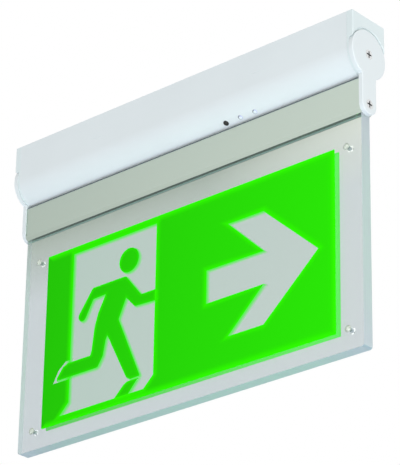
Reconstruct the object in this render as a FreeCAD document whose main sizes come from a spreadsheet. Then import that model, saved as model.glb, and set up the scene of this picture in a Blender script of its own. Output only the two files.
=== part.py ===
"""Swivelling exit sign: a ceiling housing, two arms and a double-sided edge-lit blade.

Millimetres. +X runs along the sign and +Z points up to the ceiling. The origin is the middle of the
ceiling plate's upper face. The swivel axis is parallel to X, axis_drop below the ceiling, and every piece
that belongs to the swivel is drawn about that axis and then hung from the ceiling by its Placement.
"""
import FreeCAD
import Part
import Sketcher
import math
import os

Vector = FreeCAD.Vector
Rotation = FreeCAD.Rotation

doc = FreeCAD.newDocument("ExitSign")

# ---------------------------------------------------------------------------------------------------
# Driving sizes
# ---------------------------------------------------------------------------------------------------
SIZES = [
    # the whole sign
    ("overall_length", 360, "over the outer faces of the two arms"),
    ("axis_drop", 31.6, "ceiling to swivel axis"),
    # housing shell
    ("body_depth", 39, "front to back of the shell, also twice the radius of its round underside"),
    ("shell_wall", 2, "wall of the extruded shell"),
    ("rim_gap", 0.2, "ceiling to the shell's upper rim"),
    ("rib_reach", 1.2, "how far the ribs stand in from the wall"),
    ("rail_thickness", 1.2, "thickness of the rails that hold the tray"),
    ("snap_drop", 11.1, "ceiling to the underside of the snap rib"),
    ("port_radius", 2.7, "outside of a screw port"),
    ("port_mouth", 1.4, "width of the slit along a screw port"),
    ("port_root", 0.3, "how far a screw port sinks into the wall"),
    ("fit_gap", 0.15, "clearance of pieces that slide or plug together"),
    # end caps
    ("cap_rim", 2, "thickness of the cap's plate outside the shell"),
    ("cap_spigot", 4, "how far the cap plugs into the shell"),
    ("seam_bevel", 0.25, "bevel that marks the seam between cap and shell"),
    ("cap_boss_length", 12, "pivot boss behind the cap's plate"),
    ("cap_boss_radius", 6.5, "pivot boss"),
    ("lip_clearance", 1.2, "between an arm's disc and the upper step of the lip around it"),
    ("lip_step", 1.5, "depth of the lip's upper step"),
    ("edge_bevel", 0.5, "bevel of the outer edges of caps, arms and channel"),
    # arms
    ("arm_thickness", 3.7, "thickness of an arm"),
    ("arm_gap", 0.3, "between an arm and its cap"),
    ("disc_proud", 0.7, "how far an arm's disc stands out from the round underside"),
    ("arm_depth", 16.8, "width of an arm's tongue"),
    ("wire_ring", 13.5, "radius at which the wire passes from cap to arm"),
    ("wire_groove", 4, "width of the wire groove in an arm"),
    ("groove_depth", 1.6, "depth of the wire groove"),
    ("wire_hole", 1.9, "radius of the wire holes"),
    ("tenon_length", 6, "tenon that holds the channel square to the arm"),
    # screws, nuts and washers
    ("screw_radius", 1.95, "four millimetre screw"),
    ("screw_head", 4, "radius of its countersunk head"),
    ("screw_gap", 0.05, "radial clearance around a screw"),
    ("pivot_length", 18, "pivot screw under its flush head"),
    ("arm_screw_length", 15, "lower screw under its flush head"),
    ("recess_length", 5.6, "cross recess, tip to tip"),
    ("recess_width", 1.2, "cross recess, width of an arm"),
    ("recess_depth", 1.8, "cross recess, depth"),
    ("nut_width", 7, "across the flats of the pivot nut"),
    ("nut_height", 3.2, "height of the pivot nut"),
    ("washer_radius", 8, "friction washer"),
    ("washer_thickness", 1, "friction washer"),
    ("small_screw", 1.3, "radius of a three millimetre screw's core"),
    ("small_head", 2.6, "radius of its head"),
    ("cap_screw_length", 10, "cap screw"),
    # blade channel
    ("channel_gap", 1.7, "between the shell's underside and the channel"),
    ("channel_height", 29, "height of the channel"),
    ("channel_wall", 2, "wall of the channel beside the panel"),
    ("channel_web", 1.8, "top of the channel"),
    ("duct_height", 5, "wire duct under the top"),
    ("light_web", 1.6, "web that carries the lamp strip"),
    ("lip_bevel", 2.1, "bevel along the channel's lower lips"),
    ("panel_gap", 0.1, "between the panel and the channel's walls"),
    # lamp strip
    ("strip_end_gap", 3.8, "between the lamp strip and each arm"),
    ("strip_width", 9, "lamp strip"),
    ("strip_thickness", 1, "lamp strip"),
    ("chip_length", 3, "lamp chip"),
    ("chip_width", 2.8, "lamp chip"),
    ("chip_height", 0.8, "lamp chip"),
    ("chip_pitch", 12.3, "between lamp chips"),
    ("chip_air", 0.4, "between lamp chips and panel"),
    # light panel and legends
    ("panel_end_gap", 0.7, "between the panel and each arm"),
    ("panel_thickness", 10, "light panel"),
    ("panel_height", 207.6, "light panel"),
    ("panel_corner", 2.5, "rounding of the panel's lower corners"),
    ("legend_length", 300, "printed legend film"),
    ("legend_height", 151, "printed legend film"),
    ("legend_margin", 15.6, "lower edge of the panel to the legend"),
    ("legend_corner", 1.5, "rounding of the legend's corners"),
    ("film_thickness", 0.2, "legend film"),
    ("rivet_inset", 14.6, "end of the panel to its rivets"),
    ("rivet_rise", 148.4, "between the upper and the lower rivets"),
    ("rivet_radius", 1.5, "rivet shank"),
    ("rivet_head", 2.8, "rivet head"),
    ("rivet_crown", 0.7, "height of a rivet head"),
    ("insert_radius", 2.8, "threaded insert in the panel's edge"),
    ("insert_length", 12, "threaded insert"),
    ("insert_air", 3, "bore beyond a threaded insert"),
    ("insert_depth", 11, "upper edge of the panel to its inserts and the arms' lower screws"),
    # button and indicators
    ("control_tilt", 60, "degrees that the controls face down from the horizontal"),
    ("control_start", 45.5, "middle of the sign to the test button"),
    ("control_pitch", 14.75, "between button and indicators"),
    ("button_radius", 2.25, "test button"),
    ("button_proud", 0.8, "how far the button stands out of the shell"),
    ("button_travel", 0.6, "how far the button can be pressed"),
    ("hole_gap", 0.1, "radial clearance of button and lenses"),
    ("flange_radius", 3.2, "flange behind the button and the lenses"),
    ("flange_thickness", 1, "flange behind the button and the lenses"),
    ("stem_radius", 1.2, "stem of the button"),
    ("lens_radius", 2, "indicator lens"),
    ("lens_crown", 0.4, "dome of an indicator lens"),
    ("board_radius", 12.5, "swivel axis to the face of the indicator board"),
    ("board_thickness", 1.2, "indicator board"),
    ("board_width", 12, "indicator board"),
    ("board_margin", 8, "indicator board beyond its first and last part"),
    ("switch_size", 6, "side of the test switch"),
    ("switch_height", 2.6, "height of the test switch"),
    ("switch_well", 1.5, "depth of the well that takes the button's stem"),
    ("lamp_radius", 1.5, "indicator lamp"),
    ("bracket_sheet", 1, "sheet of the indicator bracket"),
    # ceiling plate
    ("plate_end_gap", 7, "between the ceiling plate and each cap's spigot"),
    ("plate_sheet", 1.2, "sheet of the ceiling plate"),
    ("plate_gap", 1.5, "between the ceiling plate and the shell's wall"),
    ("plate_flange", 6, "depth of the ceiling plate's flanges"),
    ("plate_bend", 1.5, "outer bend radius of the flanges"),
    ("slot_spacing", 260, "between the two ceiling slots"),
    ("slot_length", 9, "ceiling slot, end to end"),
    ("slot_width", 4.5, "ceiling slot"),
    ("dimple_radius", 13, "pressed seat of the grommet"),
    ("dimple_depth", 1.3, "pressed seat of the grommet"),
    ("cable_hole", 10, "radius of the hole for the grommet"),
    ("grommet_flange", 12, "radius of the grommet's flanges"),
    ("grommet_bore", 4.5, "radius of the cable bore"),
    ("grommet_lip", 1.5, "inner flange of the grommet"),
    # snap clips
    ("clip_sheet", 0.5, "spring sheet of a body clip"),
    ("clip_length", 16, "body clip"),
    ("clip_spacing", 171, "between the body clips"),
    ("mark_length", 12, "press mark on the shell in front of each clip"),
    ("mark_width", 0.9, "width of a press mark"),
    ("mark_depth", 0.2, "depth of a press mark"),
    ("mark_drop", 21.1, "ceiling to the press marks"),
    ("clip_tail", 4.8, "sloping tail below the barb"),
    # gear inside the housing
    ("tray_drop", 22.4, "ceiling to the upper face of the tray"),
    ("tray_sheet", 1.2, "sheet of the tray"),
    ("tray_end_gap", 0.5, "between the tray and each pivot boss"),
    ("lead_slot_length", 18, "slot in the tray for the leads of the controls"),
    ("lead_slot_width", 9, "slot in the tray"),
    ("cell_radius", 7.1, "battery cell"),
    ("cell_length", 49, "battery cell without its contact"),
    ("cell_contact", 1, "raised contact of a cell"),
    ("cell_pitch", 50.1, "between battery cells"),
    ("contact_radius", 2.7, "raised contact of a cell"),
    ("battery_inset", 12, "left cap's spigot to the battery"),
    ("holder_sheet", 0.6, "sheet of a battery holder"),
    ("holder_length", 12, "battery holder"),
    ("holder_spacing", 100, "between the battery holders"),
    ("circuit_end_gap", 16, "between the control board and the right cap's spigot"),
    ("circuit_length", 100, "control board"),
    ("circuit_width", 26, "control board"),
    ("circuit_thickness", 1.6, "control board"),
    ("circuit_lift", 4, "tray to control board"),
    ("circuit_inset", 3.5, "board's edge to its screws"),
    ("standoff_width", 5, "across the flats of a board standoff"),
    ("core_length", 17.4, "transformer core"),
    ("core_width", 12.2, "transformer core"),
    ("core_height", 11, "transformer core"),
    ("winding_length", 12.2, "transformer winding"),
    ("winding_width", 17.4, "transformer winding"),
    ("winding_height", 9.3, "transformer winding"),
    ("core_offset", -20, "middle of the control board to the transformer"),
    ("can_radius", 5, "capacitor"),
    ("can_height", 11, "capacitor"),
    ("can_gap", 1.5, "between the capacitors"),
    ("socket_length", 6.5, "battery socket on the control board"),
    ("socket_width", 13, "battery socket"),
    ("socket_height", 6.5, "battery socket"),
    ("socket_depth", 4.8, "well of the battery socket"),
    ("socket_wall", 0.8, "wall of the battery socket"),
    ("socket_inset", 7, "board's edge to the battery socket"),
    ("terminal_middle", 31, "middle of the terminal block along the sign"),
    ("terminal_length", 22, "terminal block"),
    ("terminal_pitch", 5.6, "between the poles of the terminal block"),
    ("terminal_height", 13, "terminal block"),
    ("terminal_entry", 3.6, "side of a wire entry"),
    ("terminal_bore", 11, "depth of a wire entry"),
    ("terminal_inset", 5.5, "front of the terminal block to its screws"),
    ("terminal_screw", 1.8, "radius of a terminal screw's head"),
    ("terminal_sink", 1.8, "how far the terminal screws lie below the block's face"),
]

sheet = doc.addObject("Spreadsheet::Sheet", "Sizes")
for row, (alias, value, meaning) in enumerate(SIZES, start=1):
    sheet.set(f"A{row}", meaning)
    sheet.set(f"B{row}", str(value))
    sheet.setAlias(f"B{row}", alias)
doc.recompute()


class Size:
    """A length that carries both its number and the sheet formula that the number comes from."""

    def __init__(self, value, formula):
        self.value = value
        self.formula = formula

    def __add__(self, other):
        return Size(self.value + number(other), f"({self.formula} + {written(other)})")

    def __sub__(self, other):
        return Size(self.value - number(other), f"({self.formula} - {written(other)})")

    def __mul__(self, other):
        return Size(self.value * number(other), f"({self.formula} * {written(other)})")

    def __truediv__(self, other):
        return Size(self.value / number(other), f"({self.formula} / {written(other)})")

    def __neg__(self):
        return Size(-self.value, f"(0 - {self.formula})")


def number(size):
    """The plain number of a size or of a constant."""
    return size.value if isinstance(size, Size) else float(size)


def written(size):
    """The formula of a size, or a constant as text."""
    return size.formula if isinstance(size, Size) else str(size)


def root(size):
    return Size(math.sqrt(size.value), f"sqrt({size.formula})")


def cosine(angle):
    return Size(math.cos(math.radians(angle.value)), f"cos({angle.formula})")


def sine(angle):
    return Size(math.sin(math.radians(angle.value)), f"sin({angle.formula})")


class Sheet:
    """Reads the sheet: sizes.body_depth is that cell as a Size."""

    def __getattr__(self, alias):
        return Size(float(sheet.get(alias)), f"Sizes.{alias}")


s = Sheet()

# Sizes that follow from the driving ones
CENTRE_LINE = Size(0, "0")
HALF_DEPTH = s.body_depth / 2
INNER_HALF = HALF_DEPTH - s.shell_wall
ARM_OUTER = s.overall_length / 2
ARM_INNER = ARM_OUTER - s.arm_thickness
CAP_FACE = ARM_INNER - s.arm_gap
SHELL_END = CAP_FACE - s.cap_rim
SPIGOT_END = SHELL_END - s.cap_spigot
RIM_RISE = s.axis_drop - s.rim_gap
HALF_TONGUE = s.arm_depth / 2
DISC_RADIUS = HALF_DEPTH + s.disc_proud
PORT_REACH = INNER_HALF - s.port_radius + s.port_root
PIVOT_HOLE = s.screw_radius + s.screw_gap
HALF_PANEL = s.panel_thickness / 2
HALF_SLOT = HALF_PANEL + s.panel_gap
HALF_CHANNEL = HALF_SLOT + s.channel_wall
CHANNEL_TOP = HALF_DEPTH + s.channel_gap
CHANNEL_FOOT = CHANNEL_TOP + s.channel_height
DUCT_TOP = CHANNEL_TOP + s.channel_web
DUCT_FOOT = DUCT_TOP + s.duct_height
STRIP_TOP = DUCT_FOOT + s.light_web
CHIP_TOP = STRIP_TOP + s.strip_thickness
STRIP_END = ARM_INNER - s.strip_end_gap
PANEL_TOP = CHIP_TOP + s.chip_height + s.chip_air
PANEL_FOOT = PANEL_TOP + s.panel_height
PANEL_END = ARM_INNER - s.panel_end_gap
ARM_REACH = PANEL_TOP + s.insert_depth
LEGEND_DROP = PANEL_FOOT - s.legend_margin - s.legend_height / 2
RIVET_REACH = PANEL_END - s.rivet_inset
PLATE_HALF = INNER_HALF - s.plate_gap
PLATE_END = SPIGOT_END - s.plate_end_gap
CELL_START = s.battery_inset - SPIGOT_END
CIRCUIT_MIDDLE = SPIGOT_END - s.circuit_end_gap - s.circuit_length / 2
CIRCUIT_FOOT = s.tray_drop - s.circuit_lift
CIRCUIT_TOP = CIRCUIT_FOOT - s.circuit_thickness
TRAY_HALF = INNER_HALF - s.fit_gap
TRAY_FOOT = s.tray_drop + s.tray_sheet
FLANGE_FACE = root(INNER_HALF * INNER_HALF - s.flange_radius * s.flange_radius) - s.fit_gap / 2
BUTTON_FACE = HALF_DEPTH + s.button_proud


# ---------------------------------------------------------------------------------------------------
# Drawing helpers
# ---------------------------------------------------------------------------------------------------
def bind(target, name, size):
    """Tie a property to the sheet, or set it when the size is a constant."""
    if isinstance(size, Size):
        target.setExpression(name, size.formula)
    elif "." not in name:
        setattr(target, name, float(size))


def new_body(label):
    """An empty body whose label names its file."""
    body = doc.addObject("PartDesign::Body", label)
    body.Label = label
    return body


def new_sketch(body, role, offset=0):
    """A sketch on one of the body's own planes, raised along the plane's normal by offset."""
    plane = next(item for item in body.Origin.OriginFeatures if item.Role == role)
    sketch = body.newObject("Sketcher::SketchObject", body.Name + "_sketch")
    sketch.AttachmentSupport = [(plane, "")]
    sketch.MapMode = "FlatFace"
    sketch.AttachmentOffset = FreeCAD.Placement(Vector(0, 0, number(offset)), Rotation())
    bind(sketch, "AttachmentOffset.Base.z", offset)
    return sketch


def tie(sketch, kind, first, second, size):
    """Add a measured constraint between two sketch points and tie it to the sheet."""
    index = sketch.addConstraint(Sketcher.Constraint(kind, *first, *second, number(size)))
    if isinstance(size, Size):
        sketch.setExpression(f"Constraints[{index}]", size.formula)


SKETCH_ORIGIN = (-1, 1)
START, END, CENTRE = 1, 2, 3
LEFT_TURN, RIGHT_TURN = 1, -1


def place_point(sketch, point, x, y):
    """Hold a sketch point at x, y from the sketch's origin."""
    tie(sketch, "DistanceX", SKETCH_ORIGIN, point, x)
    tie(sketch, "DistanceY", SKETCH_ORIGIN, point, y)


def draw_loop(sketch, corners):
    """Draw a closed loop. A corner is (x, y), or (x, y, (centre_x, centre_y), turn) before an arc."""
    points = [Vector(number(corner[0]), number(corner[1]), 0) for corner in corners]
    edges = []
    for index, corner in enumerate(corners):
        ends = [points[index], points[(index + 1) % len(points)]]
        if len(corner) == 2:
            edges.append((sketch.addGeometry(Part.LineSegment(*ends), False), START, END))
            continue
        centre = Vector(number(corner[2][0]), number(corner[2][1]), 0)
        turn = corner[3]
        first, last = ends[::turn]
        angles = [math.atan2(end.y - centre.y, end.x - centre.x) for end in (first, last)]
        if angles[1] <= angles[0]:
            angles[1] += 2 * math.pi
        circle = Part.Circle(centre, Vector(0, 0, 1), (first - centre).Length)
        arc = sketch.addGeometry(Part.ArcOfCircle(circle, *angles), False)
        edges.append((arc, START, END) if turn == LEFT_TURN else (arc, END, START))
    for index, (edge, start, _) in enumerate(edges):
        before, _, end = edges[index - 1]
        sketch.addConstraint(Sketcher.Constraint("Coincident", before, end, edge, start))
        place_point(sketch, (edge, start), *corners[index][:2])
    for index, corner in enumerate(corners):
        if len(corner) == 2:
            continue
        chord = points[(index + 1) % len(points)] - points[index]
        across = abs(chord.x) > abs(chord.y)
        kind = "DistanceY" if across else "DistanceX"
        tie(sketch, kind, SKETCH_ORIGIN, (edges[index][0], CENTRE), corner[2][1 if across else 0])


def draw_circle(sketch, x, y, radius):
    circle = Part.Circle(Vector(number(x), number(y), 0), Vector(0, 0, 1), number(radius))
    index = sketch.addGeometry(circle, False)
    place_point(sketch, (index, CENTRE), x, y)
    tie(sketch, "Radius", (index,), (), radius)


def draw_box(sketch, left, low, right, high):
    draw_loop(sketch, [(left, low), (right, low), (right, high), (left, high)])


def draw_slot(sketch, x, y, length, width):
    """A round-ended slot along the sketch's x axis."""
    reach = (length - width) / 2
    half = width / 2
    draw_loop(sketch, [
        (x - reach, y - half),
        (x + reach, y - half, (x + reach, y), LEFT_TURN),
        (x + reach, y + half),
        (x - reach, y + half, (x - reach, y), LEFT_TURN),
    ])


def draw_hexagon(sketch, width, x=0, y=0):
    """A hexagon about x, y, two of its flats parallel to the sketch's x axis."""
    flat = width / 2
    corner = width / math.sqrt(3)
    draw_loop(sketch, [
        (corner + x, y),
        (corner / 2 + x, flat + y),
        (-corner / 2 + x, flat + y),
        (-corner + x, y),
        (-corner / 2 + x, -flat + y),
        (corner / 2 + x, -flat + y),
    ])


def pad(body, sketch, length, both_ways=False, backwards=False):
    """Raise the sketch by length, to both sides of its plane or to one."""
    feature = body.newObject("PartDesign::Pad", body.Name + "_pad")
    feature.Profile = sketch
    feature.SideType = "Symmetric" if both_ways else "One side"
    feature.Reversed = backwards
    bind(feature, "Length", length)
    doc.recompute()
    return feature


def pocket(body, sketch, length, backwards=False, both_ways=False):
    """Cut the sketch into the body, against its plane's normal unless backwards, and check that it cut."""
    solid_before = body.Shape.Volume
    feature = body.newObject("PartDesign::Pocket", body.Name + "_pocket")
    feature.Profile = sketch
    feature.SideType = "Symmetric" if both_ways else "One side"
    feature.Reversed = backwards
    bind(feature, "Length", length)
    doc.recompute()
    if not body.Shape.Volume < solid_before:
        raise ValueError(f"{feature.Label} of {body.Label} cuts nothing")
    return feature


def turn(body, sketch, axis="H_Axis"):
    """Turn the sketch once around one of its own axes."""
    feature = body.newObject("PartDesign::Revolution", body.Name + "_turned")
    feature.Profile = sketch
    feature.ReferenceAxis = (sketch, [axis])
    feature.Angle = 360
    doc.recompute()
    return feature


def mirror(body, role):
    """Repeat the whole body on the other side of one of its planes."""
    plane = next(item for item in body.Origin.OriginFeatures if item.Role == role)
    feature = body.newObject("PartDesign::Mirrored", body.Name + "_mirrored")
    feature.TransformMode = "Whole shape"
    feature.MirrorPlane = (plane, [""])
    body.Tip = feature
    doc.recompute()
    return feature


def repeat(body, pitch, count):
    """Repeat the whole body along +X."""
    axis = next(item for item in body.Origin.OriginFeatures if item.Role == "X_Axis")
    feature = body.newObject("PartDesign::LinearPattern", body.Name + "_row")
    feature.TransformMode = "Whole shape"
    feature.Direction = (axis, [""])
    feature.Mode = "Spacing"
    feature.Occurrences = count
    bind(feature, "Offset", pitch)
    body.Tip = feature
    doc.recompute()
    return feature


def dress(body, kind, size, chosen):
    """Fillet or chamfer the edges of the body for which chosen(edge) holds."""
    base = body.Tip
    names = [f"Edge{i}" for i, edge in enumerate(base.Shape.Edges, start=1) if chosen(edge)]
    if not names:
        raise ValueError(f"{body.Label} has no edge for its {kind}")
    feature = body.newObject(f"PartDesign::{kind}", f"{body.Name}_{kind.lower()}")
    feature.Base = (base, names)
    bind(feature, "Radius" if kind == "Fillet" else "Size", size)
    doc.recompute()
    return feature


def flat_at(edge, axis, size):
    """True when the whole edge lies in the plane axis = size."""
    box = edge.BoundBox
    low, high = {"x": (box.XMin, box.XMax), "y": (box.YMin, box.YMax), "z": (box.ZMin, box.ZMax)}[axis]
    return abs(low - number(size)) < 0.01 and abs(high - number(size)) < 0.01


def hang(body, left=False):
    """Place a body drawn about the swivel axis, turned end for end when it is the left one."""
    angle = 180 if left else 0
    body.Placement = FreeCAD.Placement(Vector(0, 0, -number(s.axis_drop)), Rotation(Vector(0, 0, 1), angle))
    bind(body, "Placement.Base.z", -s.axis_drop)


def face_down(body, x):
    """Place a body drawn with +Z outwards on the tilted line of the controls, at x along the sign."""
    tilt = number(s.control_tilt) + 90
    body.Placement = FreeCAD.Placement(
        Vector(number(x), 0, -number(s.axis_drop)), Rotation(Vector(1, 0, 0), tilt))
    bind(body, "Placement.Base.x", x)
    bind(body, "Placement.Base.z", -s.axis_drop)
    bind(body, "Placement.Rotation.Angle", s.control_tilt + 90)


# ---------------------------------------------------------------------------------------------------
# Housing shell: an extrusion with a round underside, snap ribs, tray rails and screw ports
# ---------------------------------------------------------------------------------------------------
def build_housing_shell():
    body = new_body("housing_shell")
    rib = INNER_HALF - s.rib_reach
    snap_foot = s.axis_drop - s.snap_drop
    upper_rail = s.axis_drop - s.tray_drop + s.fit_gap
    lower_rail = s.axis_drop - TRAY_FOOT - s.fit_gap
    # one inner side of the section, from the rim down to the swivel axis
    side = [
        (INNER_HALF, RIM_RISE),
        (INNER_HALF, snap_foot + s.rib_reach * 2),
        (rib, snap_foot + s.rib_reach),
        (rib, snap_foot),
        (INNER_HALF, snap_foot),
        (INNER_HALF, upper_rail + s.rail_thickness),
        (rib, upper_rail + s.rail_thickness),
        (rib, upper_rail),
        (INNER_HALF, upper_rail),
        (INNER_HALF, lower_rail),
        (rib, lower_rail),
        (rib, lower_rail - s.rail_thickness),
        (INNER_HALF, lower_rail - s.rail_thickness),
    ]
    other_side = [(-y, z) for y, z in reversed(side)]
    section = [
        (-HALF_DEPTH, RIM_RISE),
        (-HALF_DEPTH, 0, (0, 0), LEFT_TURN),
        (HALF_DEPTH, 0),
        (HALF_DEPTH, RIM_RISE),
        *side,
        (INNER_HALF, 0, (0, 0), RIGHT_TURN),
        (-INNER_HALF, 0),
        *other_side,
    ]
    wall = new_sketch(body, "YZ_Plane")
    draw_loop(wall, section)
    pad(body, wall, SHELL_END * 2, both_ways=True)
    ports = new_sketch(body, "YZ_Plane")
    bores = new_sketch(body, "YZ_Plane")
    slits = new_sketch(body, "YZ_Plane")
    half_mouth = s.port_mouth / 2
    for way in (1, -1):
        middle = PORT_REACH * way
        mouth_end = (PORT_REACH - s.port_radius - s.fit_gap) * way
        left, right = (mouth_end, middle) if way > 0 else (middle, mouth_end)
        draw_circle(ports, middle, 0, s.port_radius)
        draw_circle(bores, middle, 0, s.small_screw + s.screw_gap)
        draw_box(slits, left, -half_mouth, right, half_mouth)
    pad(body, ports, SHELL_END * 2, both_ways=True)
    pocket(body, bores, SHELL_END * 2, both_ways=True)
    pocket(body, slits, SHELL_END * 2, both_ways=True)
    # round holes for the button and the two indicators, square to the underside
    holes = new_sketch(body, "XY_Plane")
    inward = s.control_tilt - 90
    start = s.board_radius
    holes.AttachmentOffset = FreeCAD.Placement(
        Vector(0, -number(cosine(s.control_tilt) * start), -number(sine(s.control_tilt) * start)),
        Rotation(Vector(1, 0, 0), number(inward)))
    bind(holes, "AttachmentOffset.Base.y", -(cosine(s.control_tilt) * start))
    bind(holes, "AttachmentOffset.Base.z", -(sine(s.control_tilt) * start))
    bind(holes, "AttachmentOffset.Rotation.Angle", inward)
    for index, radius in enumerate((s.button_radius, s.lens_radius, s.lens_radius)):
        draw_circle(holes, s.control_start + s.control_pitch * index, 0, radius + s.hole_gap)
    pocket(body, holes, HALF_DEPTH)
    marks = new_sketch(body, "XZ_Plane", HALF_DEPTH)
    mark_rise = s.axis_drop - s.mark_drop
    for middle in (-s.clip_spacing / 2, s.clip_spacing / 2):
        draw_slot(marks, middle, mark_rise, s.mark_length, s.mark_width)
    pocket(body, marks, s.mark_depth)
    hang(body)


# ---------------------------------------------------------------------------------------------------
# End caps: plate, lip around the arm's disc, spigot, pivot boss
# ---------------------------------------------------------------------------------------------------
def build_end_cap(label, left):
    body = new_body(label)
    plate = new_sketch(body, "YZ_Plane", SHELL_END)
    draw_loop(plate, [
        (-HALF_DEPTH, RIM_RISE),
        (-HALF_DEPTH, 0, (0, 0), LEFT_TURN),
        (HALF_DEPTH, 0),
        (HALF_DEPTH, RIM_RISE),
    ])
    pad(body, plate, s.cap_rim)
    dress(body, "Chamfer", s.seam_bevel, lambda edge: flat_at(edge, "x", SHELL_END))
    # the lip ends on a stepped arc around the disc; the arm's tongue comes to rest against its shoulders
    # after a quarter turn, and the inner step keeps the gap around the disc small
    opening = DISC_RADIUS + s.lip_clearance
    shoulder = root(opening * opening - HALF_DEPTH * HALF_DEPTH)
    inner_opening = DISC_RADIUS + s.arm_gap
    inner_reach = root(inner_opening * inner_opening - shoulder * shoulder)
    inner_step = new_sketch(body, "YZ_Plane", CAP_FACE)
    draw_loop(inner_step, [
        (-HALF_DEPTH, RIM_RISE),
        (-HALF_DEPTH, shoulder),
        (-inner_reach, shoulder, (0, 0), RIGHT_TURN),
        (inner_reach, shoulder),
        (HALF_DEPTH, shoulder),
        (HALF_DEPTH, RIM_RISE),
    ])
    pad(body, inner_step, s.arm_gap + s.arm_thickness - s.lip_step)
    outer_step = new_sketch(body, "YZ_Plane", ARM_OUTER - s.lip_step)
    draw_loop(outer_step, [
        (-HALF_DEPTH, RIM_RISE),
        (-HALF_DEPTH, shoulder, (0, 0), RIGHT_TURN),
        (HALF_DEPTH, shoulder),
        (HALF_DEPTH, RIM_RISE),
    ])
    pad(body, outer_step, s.lip_step)
    dress(body, "Chamfer", s.edge_bevel, lambda edge: flat_at(edge, "x", ARM_OUTER))
    # the spigot fits the round trough and stays clear of the ribs above it
    spigot = new_sketch(body, "YZ_Plane", SHELL_END)
    snug = INNER_HALF - s.fit_gap
    narrow = INNER_HALF - s.rib_reach - s.fit_gap * 2
    spigot_rise = RIM_RISE - s.shell_wall
    draw_loop(spigot, [
        (-narrow, spigot_rise),
        (-narrow, 0),
        (-snug, 0, (0, 0), LEFT_TURN),
        (snug, 0),
        (narrow, 0),
        (narrow, spigot_rise),
    ])
    pad(body, spigot, s.cap_spigot, backwards=True)
    port_notches = new_sketch(body, "YZ_Plane", SHELL_END)
    cap_holes = new_sketch(body, "YZ_Plane", CAP_FACE)
    for way in (1, -1):
        draw_circle(port_notches, PORT_REACH * way, 0, s.port_radius + s.fit_gap * 2)
        draw_circle(cap_holes, PORT_REACH * way, 0, s.small_screw + s.fit_gap)
    pocket(body, port_notches, s.cap_spigot)
    pocket(body, cap_holes, s.cap_rim)
    sink = s.small_head - s.small_screw
    hole_rim = number(s.small_screw + s.fit_gap)
    dress(body, "Chamfer", sink, lambda edge: flat_at(edge, "x", CAP_FACE)
          and edge.Curve.TypeId == "Part::GeomCircle" and abs(edge.Curve.Radius - hole_rim) < 0.01)
    boss = new_sketch(body, "YZ_Plane", SHELL_END)
    draw_circle(boss, 0, 0, s.cap_boss_radius)
    pad(body, boss, s.cap_boss_length, backwards=True)
    seat = new_sketch(body, "YZ_Plane", CAP_FACE)
    draw_circle(seat, 0, 0, s.washer_radius + s.fit_gap)
    pocket(body, seat, s.washer_thickness + s.screw_gap - s.arm_gap)
    bore = new_sketch(body, "YZ_Plane", CAP_FACE)
    draw_circle(bore, 0, 0, PIVOT_HOLE)
    pocket(body, bore, s.cap_rim + s.cap_boss_length)
    nut_seat = new_sketch(body, "YZ_Plane", SHELL_END - s.cap_boss_length)
    draw_hexagon(nut_seat, s.nut_width + s.fit_gap)
    pocket(body, nut_seat, s.nut_height + s.fit_gap, backwards=True)
    wire = new_sketch(body, "YZ_Plane", CAP_FACE)
    draw_circle(wire, 0, -s.wire_ring, s.wire_hole)
    pocket(body, wire, s.cap_rim + s.cap_spigot)
    hang(body, left)


# ---------------------------------------------------------------------------------------------------
# Arms: a disc on the swivel axis and a round-ended tongue, with a wire groove behind
# ---------------------------------------------------------------------------------------------------
def build_arm(label, left):
    body = new_body(label)
    neck = root(DISC_RADIUS * DISC_RADIUS - HALF_TONGUE * HALF_TONGUE)
    face = new_sketch(body, "YZ_Plane", ARM_INNER)
    draw_loop(face, [
        (HALF_TONGUE, -neck, (0, 0), LEFT_TURN),
        (-HALF_TONGUE, -neck),
        (-HALF_TONGUE, -ARM_REACH, (0, -ARM_REACH), LEFT_TURN),
        (HALF_TONGUE, -ARM_REACH),
    ])
    pad(body, face, s.arm_thickness)
    dress(body, "Chamfer", s.edge_bevel, lambda edge: flat_at(edge, "x", ARM_OUTER))
    # a half ring that meets the cap's wire hole at every angle, and a straight run down to the tenon
    groove = new_sketch(body, "YZ_Plane", ARM_INNER)
    outside = s.wire_ring + s.wire_groove / 2
    inside = s.wire_ring - s.wire_groove / 2
    draw_loop(groove, [
        (-outside, 0, (0, 0), LEFT_TURN),
        (outside, 0),
        (inside, 0, (0, 0), RIGHT_TURN),
        (-inside, 0),
    ])
    pocket(body, groove, s.groove_depth, backwards=True)
    run = new_sketch(body, "YZ_Plane", ARM_INNER)
    duct_middle = (DUCT_TOP + DUCT_FOOT) / 2
    draw_box(run, -s.wire_groove / 2, -duct_middle, s.wire_groove / 2, -s.wire_ring)
    pocket(body, run, s.groove_depth, backwards=True)
    tenon = new_sketch(body, "YZ_Plane", ARM_INNER)
    tenon_half = HALF_SLOT - s.fit_gap
    draw_box(tenon, -tenon_half, -(DUCT_FOOT - s.fit_gap), tenon_half, -(DUCT_TOP + s.fit_gap))
    pad(body, tenon, s.tenon_length, backwards=True)
    wire = new_sketch(body, "YZ_Plane", ARM_INNER + s.groove_depth)
    draw_circle(wire, 0, -duct_middle, s.wire_hole)
    pocket(body, wire, s.tenon_length + s.groove_depth)
    holes = new_sketch(body, "YZ_Plane", ARM_OUTER)
    draw_circle(holes, 0, 0, PIVOT_HOLE)
    draw_circle(holes, 0, -ARM_REACH, PIVOT_HOLE)
    pocket(body, holes, s.arm_thickness)
    hole_radius = number(PIVOT_HOLE)
    dress(body, "Chamfer", s.screw_head - s.screw_radius, lambda edge: flat_at(edge, "x", ARM_OUTER)
          and edge.Curve.TypeId == "Part::GeomCircle" and abs(edge.Curve.Radius - hole_radius) < 0.01)
    hang(body, left)


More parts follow.
